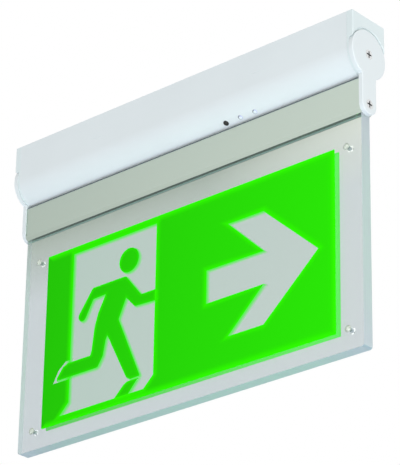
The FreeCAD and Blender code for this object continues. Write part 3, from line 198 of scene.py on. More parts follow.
POWDER_COAT = powder_coat()

# %% [markdown]
# ## Moulded plastics and rubber
# The end caps are injection moulded in ABS. The mould was spark eroded, which leaves a fine matt grain of
# about a tenth of a millimetre. It is drawn here at 0.4 mm, because the real grain would not show. The other
# plastics and the rubber have such a grain too and differ in colour and gloss, so one function makes all of
# them. The shrink sleeves of the cells and cans are smoother, with slow waves 1.5 mm long.

# %% Make the moulded plastics
MOULD_GRAIN = 0.4 * MM
SLEEVE_WAVE = 1.5 * MM
PLASTIC_CLOUD = 30 * MM


def moulded(name, first, second, roughness, grain=MOULD_GRAIN):
    """A plastic with a fine grain, its colour drifting slowly between two close ones."""
    material, tree, place = start_material(name)
    pits, gloss = mottle(tree, place, grain, roughness - 0.04, roughness + 0.04)
    _, cloud = mottle(tree, place, PLASTIC_CLOUD, 0.0, 1.0)
    colour = add(tree, "ShaderNodeMix", COLOURS, {SHARE: cloud, FIRST: linear(first), SECOND: linear(second)})
    bump = add(tree, "ShaderNodeBump", inputs={"Height": pits, "Strength": 0.1, "Distance": 0.03 * MM})
    plastic = add(tree, "ShaderNodeBsdfPrincipled", inputs={
        "Base Color": colour, "Roughness": gloss, "IOR": 1.53, "Normal": bump})
    return end_material(material, plastic)


WHITE_ABS = moulded("white_moulded_abs", "E1EAEA", "DDE7E7", 0.42)    # satin, close to the coat
BLACK_ABS = moulded("black_moulded_abs", "08090A", "0C0D0E", 0.35)    # deep black with a clear highlight
BLACK_RUBBER = moulded("black_rubber", "1A1A1B", "232324", 0.7)    # dull, with no highlight
# grey rubber for the strips that paint the gap's shadow line
SHADOW_LINE_RUBBER = moulded("grey_rubber", "56646C", "5E6C74", 0.7)    # dull, reads as a shadow line
NATURAL_NYLON = moulded("natural_nylon", "DAD8CC", "E2E0D6", 0.5)    # nylon without dye is a waxy cream
GREY_NYLON = moulded("grey_nylon", "8E9092", "9A9C9E", 0.55)
CELL_SLEEVE = moulded("shrink_sleeve_green", "2A7A45", "2F854C", 0.3, SLEEVE_WAVE)    # taut and glossy
CAN_SLEEVE = moulded("shrink_sleeve_navy", "141A2E", "1A2138", 0.3, SLEEVE_WAVE)
FERRITE = moulded("sintered_ferrite", "2B2C2F", "333438", 0.75)    # a fired powder, charcoal and dull

# %% [markdown]
# ## Anodised, rolled and plated metal
# The channel is extruded and satin anodised. The die leaves faint lines along the whole length, so the noise
# is stretched 120 times along X. Real die lines are finer than a tenth of a millimetre. They are drawn
# 0.6 mm apart, or they would not show. Rolled sheet has the same lines from its rolls, zinc plate has
# longer flakes, and nickel plate and turned brass are nearly even. Every metal keeps the default IOR.

# %% Make the metals
DIE_LINE = 0.6 * MM
ALONG_THE_DIE = 120
ZINC_FLAKE = 1.5 * MM
PLATE_GRAIN = 0.5 * MM
TURNED_GRAIN = 0.4 * MM


def drawn_metal(name, first, second, roughness, line=DIE_LINE, stretch=ALONG_THE_DIE):
    """A metal with lines that are stretched along X."""
    material, tree, place = start_material(name)
    along = add(tree, "ShaderNodeMapping", inputs={"Vector": place, "Scale": (1 / stretch, 1, 1)})
    lines, gloss = mottle(tree, along.outputs["Vector"], line, roughness - 0.05, roughness + 0.05, 3.0)
    colour = add(tree, "ShaderNodeMix", COLOURS, {SHARE: lines, FIRST: linear(first), SECOND: linear(second)})
    bump = add(tree, "ShaderNodeBump", inputs={"Height": lines, "Strength": 0.15, "Distance": 0.02 * MM})
    metal = add(tree, "ShaderNodeBsdfPrincipled", inputs={
        "Base Color": colour, "Metallic": 1.0, "Roughness": gloss, "Normal": bump})
    return end_material(material, metal)


ANODISED = drawn_metal("satin_anodised_aluminium", "C3D0C5", "C7D4C9", 0.34)    # soft, greenish grey
SHEET_ALUMINIUM = drawn_metal("rolled_aluminium", "C9CCCE", "D2D5D7", 0.35)
ZINC_PLATE = drawn_metal("zinc_plated_steel", "B4B9BE", "C2C6CA", 0.4, ZINC_FLAKE, 3)    # bluish, blotched
PLATED_STEEL = drawn_metal("nickel_plated_steel", "DCDEDE", "E6E8E8", 0.28, PLATE_GRAIN, 1)    # bright
SCREW_STEEL = drawn_metal("screw_steel", "DCDEDE", "E6E8E8", 0.28, PLATE_GRAIN, 1)
BRASS = drawn_metal("machined_brass", "CDAA5E", "D6B56C", 0.3, TURNED_GRAIN, 1)    # warm yellow

# %% [markdown]
# ## Shade painted on metal
# The cross recess of a screw is punched, and it is drawn darker than the head around it: painted shade in
# the recess. The channel is drawn a shade darker towards its left end, painted shade for the dimmer light a
# long satin face takes at one end. Both change a finish that exists already, so one helper mixes a second
# colour into it.

# %% Change a metal's colour over part of its surface
def recolour(material, share, colour):
    """Mix a colour into a metal by a share that is worked out from the place on its surface."""
    tree = material.node_tree
    metal = next(node for node in tree.nodes if node.type == "BSDF_PRINCIPLED")
    plain = metal.inputs["Base Color"].links[0].from_socket
    mix = add(tree, "ShaderNodeMix", COLOURS, {SHARE: share, FIRST: plain, SECOND: linear(colour)})
    tree.links.new(mix.outputs[MIXED], metal.inputs["Base Color"])


def place_along(material):
    """The X coordinate of the place on the surface."""
    tree = material.node_tree
    place = next(node for node in tree.nodes if node.type == "TEX_COORD")
    return add(tree, "ShaderNodeSeparateXYZ", inputs={0: place.outputs["Object"]}).outputs["X"]


# %% Paint shade into the screws' recesses
RECESS_DEPTH = 0.2 * MM    # anything deeper than this below the screw's face is recess

reach = add(SCREW_STEEL.node_tree, "ShaderNodeMath", {"operation": "ABSOLUTE"}, {0: place_along(SCREW_STEEL)})
deep = add(SCREW_STEEL.node_tree, "ShaderNodeMath", {"operation": "LESS_THAN"}, {
    0: reach, 1: pivot_high.x - RECESS_DEPTH})
# painted shade: the recess is drawn a dark brown grey
recolour(SCREW_STEEL, deep, "4A4038")
print("recesses begin at", round((pivot_high.x - RECESS_DEPTH) / MM, 2), "mm from the middle")

# %% Shade the channel along its length
MOST_SHADE = 0.7    # share of the darker colour at the left end

# painted shade: the channel is drawn darker towards its left end
left_end_shade = add(ANODISED.node_tree, "ShaderNodeMapRange", inputs={
    "Value": place_along(ANODISED), "From Min": channel_high.x, "From Max": channel_low.x,
    "To Max": MOST_SHADE})
recolour(ANODISED, left_end_shade, "A6B4A9")
print("shaded", ANODISED.name, "over", round((channel_high.x - channel_low.x) / MM, 1), "mm")

# %% [markdown]
# ## Clear acrylic
# The panel is cast acrylic, 10 mm thick. Light travels inside it, and dust and tiny scratches on its faces
# let some of it out. They are too fine to draw one by one, and from a distance they are a faint grey haze,
# so a face is a refracting solid mixed with a little diffuse grey. The edges are sawn and sanded, and glow
# softly where the light leaves them. Towards the channel the colour is painted shade on the left, darker,
# and painted light on the right, paler.

# %% Tint the panel, with painted shade and light towards the channel
EVEN_BELOW = -140 * MM    # the tint changes from this height up to the channel
EVEN_LEFT_OF = 20 * MM    # and from here to the right edge


def panel_tint_and_shade(tree, at):
    """A colour that changes towards the channel and towards the right edge: painted shade near the channel on
    the left, painted light on the right.
    """
    height = add(tree, "ShaderNodeMapRange", inputs={
        "Value": at.outputs["Z"], "From Min": EVEN_BELOW, "From Max": channel_low.z})
    width = add(tree, "ShaderNodeMapRange", inputs={
        "Value": at.outputs["X"], "From Min": EVEN_LEFT_OF, "From Max": panel_high.x})
    # painted shade near the channel on the left, painted light on the right
    left = add(tree, "ShaderNodeMix", COLOURS, {
        SHARE: height, FIRST: linear("D4DAE0"), SECOND: linear("A9B6A8")})
    right = add(tree, "ShaderNodeMix", COLOURS, {
        SHARE: height, FIRST: linear("D8DEE2"), SECOND: linear("E8EEE2")})
    return add(tree, "ShaderNodeMix", COLOURS, {SHARE: width, FIRST: left, SECOND: right})


print("the tint changes above", round(EVEN_BELOW / MM), "mm and right of", round(EVEN_LEFT_OF / MM), "mm")

# %% [markdown]
# Under the channel's lip the panel is in shade, and through its front face one sees a dark slot and then the
# pale inside of the rear lip. Both are painted: the haze there is drawn darker as painted shade, and thicker
# where the rear lip shows, as a painted view of it.

# %% Haze on the panel's faces, with painted shade under the lip
HAZE = 0.15
LIP_VIEW_SHARE = 0.5    # added where the rear lip shows
SHADE_DEPTH = 3.3 * MM    # the shade reaches this far below the lip
LIP_SHOWS = 1.9 * MM    # and the rear lip shows from here downwards


def hazy_face(tree, at):
    """Clear acrylic with a share of diffuse grey, drawn darker and thicker under the channel's lip as painted
    shade.
    """
    glass = add(tree, "ShaderNodeBsdfPrincipled", inputs={
        "Base Color": panel_tint_and_shade(tree, at), "Roughness": 0.03, "IOR": 1.49, "Transmission Weight": 1.0})
    # painted shade: darker haze under the lip, and more of it where the rear lip shows
    shaded = add(tree, "ShaderNodeMath", {"operation": "GREATER_THAN"}, {
        0: at.outputs["Z"], 1: channel_low.z - SHADE_DEPTH})
    below = add(tree, "ShaderNodeMath", {"operation": "LESS_THAN"}, {
        0: at.outputs["Z"], 1: channel_low.z - LIP_SHOWS})
    front = add(tree, "ShaderNodeMath", {"operation": "LESS_THAN"}, {0: at.outputs["Y"], 1: 0.0})
    front_below = add(tree, "ShaderNodeMath", {"operation": "MULTIPLY"}, {0: below, 1: front})
    strip = add(tree, "ShaderNodeMath", {"operation": "MULTIPLY"}, {0: shaded, 1: front_below})
    haze_and_lip_view = add(tree, "ShaderNodeMath", {"operation": "MULTIPLY_ADD"}, {0: strip, 1: LIP_VIEW_SHARE, 2: HAZE})
    grey = add(tree, "ShaderNodeMix", COLOURS, {
        SHARE: shaded, FIRST: linear("C4CFCB"), SECOND: linear("98B8AE")})
    dust_and_shade = add(tree, "ShaderNodeBsdfDiffuse", inputs={"Color": grey})
    return add(tree, "ShaderNodeMixShader", inputs={0: haze_and_lip_view, 1: glass, 2: dust_and_shade})


print("the strip under the lip is", round((SHADE_DEPTH - LIP_SHOWS) / MM, 1), "mm high")

# %% [markdown]
# A sanded edge scatters light both ways, so it is part diffuse and part translucent. The lower edge is drawn
# a bluer grey, painted light for the bluish light from below. From the right, the left edge is seen from
# inside, through the panel, and painted light makes it brighter, with a paler colour and a stronger glow.

# %% Sand the panel's edges
THROUGH = 0.36    # share of the light that goes through a sanded edge
EDGE_GLOW = 0.14
LEFT_EDGE_PAINTED_LIGHT = 0.3    # added to the other glow
NEARLY_DOWN = -0.5    # a normal whose z is below this belongs to the lower edge
EDGE_SKIN = 0.1 * MM    # a point this close to the panel's left end belongs to the left edge


def sanded_edge(tree, at, normal):
    """A frosted edge with a faint glow, and painted light: a bluer grey below and a brighter left edge."""
    under = add(tree, "ShaderNodeMath", {"operation": "LESS_THAN"}, {0: normal.outputs["Z"], 1: NEARLY_DOWN})
    left_edge = add(tree, "ShaderNodeMath", {"operation": "LESS_THAN"}, {
        0: at.outputs["X"], 1: panel_low.x + EDGE_SKIN})
    # painted light: a bluer grey on the lower edge, a paler colour and more glow on the left edge
    plain = add(tree, "ShaderNodeMix", COLOURS, {
        SHARE: under, FIRST: linear("C4CAD4"), SECOND: linear("9AAFC0")})
    colour = add(tree, "ShaderNodeMix", COLOURS, {
        SHARE: left_edge, FIRST: plain, SECOND: linear("F6FAFC")})
    glow = add(tree, "ShaderNodeMath", {"operation": "MULTIPLY_ADD"}, {
        0: left_edge, 1: LEFT_EDGE_PAINTED_LIGHT, 2: EDGE_GLOW})
    sanded = add(tree, "ShaderNodeBsdfPrincipled", inputs={
        "Base Color": colour, "Roughness": 0.4, "IOR": 1.49,
        "Emission Color": linear("C0C6D4"), "Emission Strength": glow})
    through = add(tree, "ShaderNodeBsdfTranslucent", inputs={"Color": linear("F0F6F8")})
    return add(tree, "ShaderNodeMixShader", inputs={0: THROUGH, 1: sanded, 2: through})


print("light through a sanded edge:", THROUGH)

# %% Make the acrylic
def lit_acrylic():
    """Faces and edges in one material, told apart by the surface's normal."""
    material, tree, place = start_material("cast_acrylic")
    at = add(tree, "ShaderNodeSeparateXYZ", inputs={0: place})
    shape = add(tree, "ShaderNodeNewGeometry")
    normal = add(tree, "ShaderNodeSeparateXYZ", inputs={0: shape.outputs["True Normal"]})
    # the normal's y component is 1 on the two faces and 0 on the edges
    is_face = add(tree, "ShaderNodeMath", {"operation": "ABSOLUTE"}, {0: normal.outputs["Y"]})
    both = add(tree, "ShaderNodeMixShader", inputs={
        0: is_face, 1: sanded_edge(tree, at, normal), 2: hazy_face(tree, at)})
    return end_material(material, both)


ACRYLIC = lit_acrylic()

# %% [markdown]
# ## Lamps, lenses and rivets
# A lamp chip is capped with clear resin that holds a yellow phosphor, so it is partly clear and partly a
# diffuse pale yellow.

# %% Make the lamps' resin
PHOSPHOR = 0.4    # share of the light that the phosphor scatters


def lamp_resin():
    """Clear resin with yellow powder in it."""
    material, tree, _ = start_material("lamp_resin")
    resin = add(tree, "ShaderNodeBsdfPrincipled", inputs={
        "Base Color": linear("FFF4C8"), "Roughness": 0.03, "IOR": 1.49, "Transmission Weight": 1.0})
    phosphor = add(tree, "ShaderNodeBsdfDiffuse", inputs={"Color": linear("F2E2A0")})
    mix = add(tree, "ShaderNodeMixShader", inputs={0: PHOSPHOR, 1: resin, 2: phosphor})
    return end_material(material, mix)


LAMP_RESIN = lamp_resin()

# %% [markdown]
# An indicator lens is milky polycarbonate, which hides what is behind it, so it needs no refraction. A thin
# rim is painted on it so that it reads as a lens set into the housing: painted shade, dark, on the left where
# the hole's edge shades it, and a painted highlight, pale blue, on the right. The rim is found by the
# distance from the lens's own axis, which runs through the swivel's axis.

# %% Make the lenses
LENS_RIM = 1.5 * MM    # the rim begins this far from the lens's axis
RIM_BLEND = 1.0 * MM    # its dark side turns pale over this distance, left and right of the axis


def lens_plastic(node):
    """Milky plastic with a painted rim of shade and highlight, measured from the axis of one lens."""
    low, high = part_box(node)
    middle = (low + high) / 2
    axis = (Vector((0, middle.y, middle.z)) - swivel_axis).normalized()
    material, tree, place = start_material(node + "_polycarbonate")
    away = add(tree, "ShaderNodeVectorMath", {"operation": "SUBTRACT"}, {0: place, 1: middle})
    across = add(tree, "ShaderNodeVectorMath", {"operation": "CROSS_PRODUCT"}, {0: away, 1: axis})
    radius = add(tree, "ShaderNodeVectorMath", {"operation": "LENGTH"}, {0: across})
    is_rim = add(tree, "ShaderNodeMath", {"operation": "GREATER_THAN"}, {0: radius, 1: LENS_RIM})
    side = add(tree, "ShaderNodeSeparateXYZ", inputs={0: away})
    to_right = add(tree, "ShaderNodeMapRange", inputs={
        "Value": side.outputs["X"], "From Min": -RIM_BLEND, "From Max": RIM_BLEND})
    # painted rim: shade on the left, a highlight on the right
    rim = add(tree, "ShaderNodeMix", COLOURS, {
        SHARE: to_right, FIRST: linear("6A7078"), SECOND: linear("CAD0EE")})
    milk_and_painted_rim = add(tree, "ShaderNodeMix", COLOURS, {SHARE: is_rim, FIRST: linear("E6EEF4"), SECOND: rim})
    plastic = add(tree, "ShaderNodeBsdfPrincipled", inputs={
        "Base Color": milk_and_painted_rim, "Roughness": 0.2, "IOR": 1.58})
    return end_material(material, plastic)


CHARGE_LENS, FAULT_LENS = lens_plastic("charge_lens"), lens_plastic("fault_lens")

# %% [markdown]
# A panel rivet is clear polycarbonate. Its heads are a faint satin disc on the panel. Glass alone would show
# too little at this size, so the heads get a veil of grey green, and painted glints, bright spots about a
# millimetre across that glow, are mixed into the rear half, where the shank would catch the panel's light.

# %% Make the rivets
GLINT = 1.0 * MM
HEAD_VEIL = 0.8    # share of grey green on a head


def rivet_plastic():
    """Clear plastic with veiled heads and painted glints in its rear half."""
    material, tree, place = start_material("clear_rivet_polycarbonate")
    at = add(tree, "ShaderNodeSeparateXYZ", inputs={0: place})
    _, spots = mottle(tree, place, GLINT, -0.4, 1.4)
    rearward = add(tree, "ShaderNodeMapRange", inputs={
        "Value": at.outputs["Y"], "From Min": 0.0, "From Max": panel_high.y})
    bright = add(tree, "ShaderNodeMath", {"operation": "MULTIPLY", "use_clamp": True}, {
        0: rearward, 1: spots})
    depth = add(tree, "ShaderNodeMath", {"operation": "ABSOLUTE"}, {0: at.outputs["Y"]})
    is_head = add(tree, "ShaderNodeMath", {"operation": "GREATER_THAN"}, {0: depth, 1: panel_high.y})
    veil = add(tree, "ShaderNodeMath", {"operation": "MULTIPLY"}, {0: is_head, 1: HEAD_VEIL})
    colour = add(tree, "ShaderNodeMix", COLOURS, {
        SHARE: spots, FIRST: linear("B4C2B0"), SECOND: linear("D8E0D2")})
    satin = add(tree, "ShaderNodeBsdfPrincipled", inputs={
        "Base Color": colour, "Roughness": 0.3, "IOR": 1.58})
    glass = add(tree, "ShaderNodeBsdfPrincipled", inputs={
        "Base Color": linear("E0EADC"), "Roughness": 0.03, "IOR": 1.58, "Transmission Weight": 1.0})
    body = add(tree, "ShaderNodeMixShader", inputs={0: veil, 1: glass, 2: satin})
    # painted glints, which glow
    glint = add(tree, "ShaderNodeEmission", inputs={"Color": linear("FFFFFF"), "Strength": 1.6})
    mix = add(tree, "ShaderNodeMixShader", inputs={0: bright, 1: body, 2: glint})
    return end_material(material, mix)


CLEAR_RIVET = rivet_plastic()

# %% [markdown]
# ## Circuit boards
# A board is glass cloth in resin under a white solder mask. The cloth's threads, about half a millimetre
# apart, print through the mask as a faint weave. A wave texture repeats every 2 pi / (20 x scale), so a
# scale of 300 draws it 1 mm apart, coarse enough to show.

# %% Make the circuit board
WEAVE_SCALE = 300.0


def circuit_board():
    """White solder mask with a faint weave."""
    material, tree, place = start_material("white_solder_mask")
    weave = add(tree, "ShaderNodeTexWave", inputs={"Vector": place, "Scale": WEAVE_SCALE, "Distortion": 1.0})
    colour = add(tree, "ShaderNodeMix", COLOURS, {
        SHARE: weave.outputs["Fac"], FIRST: linear("DCE4DF"), SECOND: linear("E4EBE6")})
    bump = add(tree, "ShaderNodeBump", inputs={
        "Height": weave.outputs["Fac"], "Strength": 0.1, "Distance": 0.02 * MM})
    mask = add(tree, "ShaderNodeBsdfPrincipled", inputs={
        "Base Color": colour, "Roughness": 0.35, "IOR": 1.5, "Normal": bump})
    return end_material(material, mask)


SOLDER_MASK = circuit_board()
print("threads are drawn", round(2 * math.pi / (20 * WEAVE_SCALE) / MM, 2), "mm apart")

# %% [markdown]
# ## Screen-printed ink
# The legend is matt ink on a polyester film, and the panel's light shines through it. A plain diffuse ink
# would look dead, and a lamp behind the film would be slow to render. So each ink both reflects and glows.
# The side of the film that lies on the panel is lit first, so it glows more strongly.

# %% Make the inks
INNER_GLOW = 0.75    # how much more the inner side of a film glows
middle_of_film = panel_high.y + film_size.y / 2


def ink(name, left, right, left_glow, right_glow):
    """A diffuse layer that also glows. Both colours change from the film's left end to its right end."""
    material, tree, place = start_material(name)
    at = add(tree, "ShaderNodeSeparateXYZ", inputs={0: place})
    to_right = add(tree, "ShaderNodeMapRange", inputs={
        "Value": at.outputs["X"], "From Min": film_low.x, "From Max": film_high.x})
    colour = add(tree, "ShaderNodeMix", COLOURS, {
        SHARE: to_right, FIRST: linear(left), SECOND: linear(right)})
    glow = add(tree, "ShaderNodeMix", COLOURS, {
        SHARE: to_right, FIRST: linear(left_glow), SECOND: linear(right_glow)})
    depth = add(tree, "ShaderNodeMath", {"operation": "ABSOLUTE"}, {0: at.outputs["Y"]})
    inner = add(tree, "ShaderNodeMath", {"operation": "LESS_THAN"}, {0: depth, 1: middle_of_film})
    strength = add(tree, "ShaderNodeMath", {"operation": "MULTIPLY_ADD"}, {0: inner, 1: INNER_GLOW, 2: 1.0})
    layer = add(tree, "ShaderNodeBsdfDiffuse", inputs={"Color": colour})
    light = add(tree, "ShaderNodeEmission", inputs={"Color": glow, "Strength": strength})
    both = add(tree, "ShaderNodeAddShader", inputs={0: layer, 1: light})
    return end_material(material, both)


GREEN_INK = ink("green_ink", "14860A", "169408", "1C9E00", "22BC00")
PALE_INK = ink("pale_ink", "B6C6BC", "BCC6C0", "404A44", "444C48")

# %% [markdown]
# Some light spreads sideways in the film. That glow is drawn as flat ribbons that fade out, and their
# brightness comes from a colour attribute, which each ribbon carries at its corners.

# %% Make the glow
def glow_ink():
    """Bright green that fades out with the colour attribute named fade."""
    material, tree, _ = start_material("green_glow")
    fade = add(tree, "ShaderNodeAttribute", {"attribute_name": "fade"})
    clear = add(tree, "ShaderNodeBsdfTransparent")
    light = add(tree, "ShaderNodeEmission", inputs={"Color": linear("34FF04"), "Strength": 1.0})
    mix = add(tree, "ShaderNodeMixShader", inputs={0: fade.outputs["Fac"], 1: clear, 2: light})
    return end_material(material, mix)


GREEN_GLOW = glow_ink()

# %% [markdown]
# ## Which piece has which finish
# A piece of the frame keeps its mesh, and its one material slot is filled with the finish of the real piece.
# The table is written out in full, so that no piece can be forgotten.

# %% Give every piece its finish
FINISHES = {
    "housing_shell": POWDER_COAT, "left_arm": POWDER_COAT, "right_arm": POWDER_COAT,
    "left_end_cap": WHITE_ABS, "right_end_cap": WHITE_ABS,
    "pivot_screws": SCREW_STEEL, "arm_screws": SCREW_STEEL, "cap_screws": PLATED_STEEL,
    "pivot_nuts": PLATED_STEEL, "friction_washers": GREY_NYLON,
    "blade_channel": ANODISED, "lamp_strip": SOLDER_MASK, "lamp_chips": LAMP_RESIN,
    "light_panel": ACRYLIC, "panel_inserts": BRASS, "front_legend": GREEN_INK, "rear_legend": GREEN_INK,
    "panel_rivets": CLEAR_RIVET, "test_button": BLACK_ABS,
    "charge_lens": CHARGE_LENS, "fault_lens": FAULT_LENS,
    "indicator_board": SOLDER_MASK, "test_switch": BLACK_ABS, "indicator_lamps": LAMP_RESIN,
    "indicator_bracket": SHEET_ALUMINIUM, "ceiling_plate": ZINC_PLATE, "cable_grommet": BLACK_RUBBER,
    "terminal_block": NATURAL_NYLON, "terminal_screws": BRASS, "body_clips": PLATED_STEEL,
    "gear_tray": SHEET_ALUMINIUM, "battery_cells": CELL_SLEEVE, "battery_holders": PLATED_STEEL,
    "control_board": SOLDER_MASK, "board_standoffs": BRASS, "board_screws": PLATED_STEEL,
    "transformer": FERRITE, "capacitors": CAN_SLEEVE, "board_connector": NATURAL_NYLON,
}
for name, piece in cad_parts.items():
    piece.data.materials.clear()
    piece.data.materials.append(FINISHES[name])
print("finished", len(FINISHES), "pieces")

# %% [markdown]
# ## Pieces that are added to the blade
# The added pieces are built point by point as meshes. Each one swings with the blade and gets one finish,
# so one helper finishes them all.

# %% Finish an added piece
def blade_piece(name, build, finish):
    """Turn a built mesh into a piece that rides the blade."""
    mesh = bpy.data.meshes.new(name)
    build.to_mesh(mesh)
    build.free()
    mesh.materials.append(finish)
    piece = bpy.data.objects.new(name, mesh)
    bpy.context.scene.collection.objects.link(piece)
    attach(piece, "blade")
    print("added", name, "with", len(mesh.polygons), "faces")


# %% [markdown]
# ## The gap's shadow line
# A gap of 1.7 mm lets the channel swing under the housing, and its shade reads as one crisp dark line. A
# dark rubber strip along each upper edge of the channel is drawn to paint that shade as a line; a lip on the
# real sign there is a guess. It stops short of the housing, so it swings past without touching. Rubber lips
# are extruded, so one small profile is drawn along the channel.

# %% Fit the strips that paint the gap's shadow line
# each point is (distance from the middle plane, height over the channel) in millimetres
SHADOW_STRIP_PROFILE = [
    (6.5, 0.0), (6.6, 0.4), (6.55, 0.8), (6.3, 0.95), (6.0, 0.85), (5.7, 0.5), (5.1, 0.3), (5.0, 0.0)]
SHADOW_STRIP_INSET = 0.3 * MM    # how far a lip stops short of the channel's ends


def gap_shadow_strip(name, face):
    """A dark rubber strip on one upper edge of the channel, which paints the gap's shadow line. Face is -1 at
    the front and 1 at the rear.
    """
    build = bmesh.new()
    ends = [[build.verts.new((x, y * MM * face, channel_high.z + z * MM)) for y, z in SHADOW_STRIP_PROFILE]
            for x in (channel_low.x + SHADOW_STRIP_INSET, channel_high.x - SHADOW_STRIP_INSET)]
    for index in range(len(SHADOW_STRIP_PROFILE)):
        build.faces.new((ends[0][index - 1], ends[0][index], ends[1][index], ends[1][index - 1]))
    for end in ends:
        build.faces.new(end)
    bmesh.ops.recalc_face_normals(build, faces=build.faces)
    # the strip is drawn dark to paint the shadow in the gap
    blade_piece(name, build, SHADOW_LINE_RUBBER)


for side, face in (("front", -1), ("rear", 1)):
    gap_shadow_strip(f"{side}_gap_shadow_strip", face)

# %% [markdown]
# ## The printed legend
# The film itself is the green field. Two layers lie on it, the pale doorway and arrow, and over them the
# green runner. A painted image would do, but it blurs when one comes close. So each layer is cut from
# outlines, as a stencil would be, and lies a twentieth of a millimetre above the one below. An outline is a
# list of corners in millimetres, and a corner with a third number is rounded to that radius.

# %% Round the corners of an outline
ARC_STEP = math.radians(10)    # one short side of a rounded corner


def rounded(corners):
    """The outline's points. A corner (x, z, radius) becomes an arc that touches both of its sides."""
    points = []
    for index, corner in enumerate(corners):
        here = Vector(corner[:2])
        if len(corner) == 2:
            points.append(here)
            continue
        radius = corner[2]
        before = (Vector(corners[index - 1][:2]) - here).normalized()
        after = (Vector(corners[(index + 1) % len(corners)][:2]) - here).normalized()
        half = before.angle(after) / 2
        centre = here + (before + after).normalized() * (radius / math.sin(half))
        start = here + before * (radius / math.tan(half)) - centre
        end = here + after * (radius / math.tan(half)) - centre
        sweep = start.angle_signed(end)
        count = max(2, round(abs(sweep) / ARC_STEP))
        for place in range(count + 1):
            turn = -sweep * place / count
            points.append(centre + Matrix.Rotation(turn, 2) @ start)
    return points


def disc(x, z, radius, count=48):
    """Points of a circle."""
    turns = [2 * math.pi * place / count for place in range(count)]
    return [Vector((x + radius * math.cos(turn), z + radius * math.sin(turn))) for turn in turns]


print("a rounded right angle becomes", len(rounded([(0, 0, 1), (9, 0), (9, 9), (0, 9)])) - 3, "points")

# %% Cut a layer from its outlines
LAYER = 0.05 * MM
film_face = film_size.y + panel_high.y    # from the middle plane to the film's outer face


def print_layer(name, outlines, level, face, finish):
    """Thin flat prisms on one face of the blade. Face is -1 at the front and 1 at the rear."""
    build = bmesh.new()
    base = film_face * face
    for outline in outlines:
        corners = [build.verts.new((film_centre.x + p.x * MM, base + LAYER * (level - 1) * face,
                                    film_centre.z + p.y * MM)) for p in outline]
        flat = build.faces.new(corners)
        raised = bmesh.ops.extrude_face_region(build, geom=[flat])
        top = [item for item in raised["geom"] if isinstance(item, bmesh.types.BMVert)]
        bmesh.ops.translate(build, verts=top, vec=(0, LAYER * face, 0))
    bmesh.ops.triangulate(build, faces=build.faces)
    bmesh.ops.recalc_face_normals(build, faces=build.faces)
    blade_piece(name, build, finish)


print("a layer is", round(LAYER / MM, 2), "mm thick, on a film face at", round(film_face / MM, 2), "mm")

# %% [markdown]
# The doorway stands at the left and leans into a threshold below. The arrow at the right has straight bars
# and a pointed head. The runner is cut as one outline, and the head is a disc of its own. Heights are given
# from the swivel's axis, as on a drawing, and one helper moves them to the film.

# %% Outlines of the doorway, the arrow and the runner
FILM_MIDDLE = -148.3    # height of the film's middle in millimetres, from the swivel's axis
DOORWAY = [(-120.5, -79), (-30, -79), (-30, -208), (-40, -217.5), (-130, -217.5), (-120.5, -208)]
HEEL_EDGE = [(-120.5, -172), (-125, -172), (-133, -178, 3), (-138.5, -188), (-120.5, -188)]
ARROW = [(23.5, -136), (81, -136.3), (45, -102.7), (80.5, -102.7), (134, -150), (81, -197), (46, -197),
         (81, -163.8), (23.5, -163.8)]
RUNNER = [
    (-98, -115.5, 3), (-114.5, -138, 4), (-107, -143.5, 4), (-97, -125.5, 2), (-83.5, -125),
    (-91, -139, 8), (-94.5, -150, 20), (-97, -170), (-98.5, -174), (-123, -174, 4), (-128, -176),
    (-134.5, -184, 2), (-134.5, -186.3), (-90, -186.3, 3), (-84.5, -178, 6), (-82, -165), (-80.3, -161.5),
    (-58.5, -203, 4), (-54, -205.5), (-44, -205.2, 1), (-68.5, -151, 3), (-61, -134.5), (-51.5, -144.5, 3),
    (-30, -145.5), (-30, -136), (-45, -136, 2), (-62, -115.5, 3)]
SHADOW = [(-70.5, -217.5), (-61, -208.5, 2), (-57, -206.7), (-46, -206.7), (-56, -217.5)]
HEAD = (-59, -102.3)
HEAD_RADIUS = 10.5


def on_film(corners):
    """Move corners given from the swivel's axis to the film's centre."""
    return [(corner[0], corner[1] - FILM_MIDDLE, *corner[2:]) for corner in corners]


doorway, heel_edge, arrow = (rounded(on_film(corners)) for corners in (DOORWAY, HEEL_EDGE, ARROW))
pale_outlines = [doorway, heel_edge, arrow]
green_outlines = [rounded(on_film(RUNNER)), rounded(on_film(SHADOW)), disc(*on_film([HEAD])[0], HEAD_RADIUS)]
print("points:", [len(outline) for outline in pale_outlines + green_outlines])

# %% [markdown]
# Light spreads inside the film, so the green is brightest beside every pale shape and along the film's
# edges. Inside the pale shapes a narrow green line is painted a little to the right and below, a painted view
# of the rear film's edge through the panel as it is seen from the right and from below. Both are ribbons that
# follow an outline and fade out away from it.

# %% Follow an outline at a distance
LONGEST_MITRE = 2.0    # a sharp corner moves at most this many times the distance


def offset(points, distance):
    """The outline moved outwards by distance, or inwards when it is negative, with mitred corners."""
    area = sum(a.cross(b) for a, b in zip(points, points[1:] + points[:1]))
    outward = -1 if area > 0 else 1
    moved = []
    for index, here in enumerate(points):
        before = (here - points[index - 1]).normalized()
        after = (points[(index + 1) % len(points)] - here).normalized()
        normals = [Vector((-side.y, side.x)) * outward for side in (before, after)]
        middle = (normals[0] + normals[1]).normalized()
        mitre = min(1 / max(middle.dot(normals[0]), 0.01), LONGEST_MITRE)
        moved.append(here + middle * (distance * mitre))
    return moved


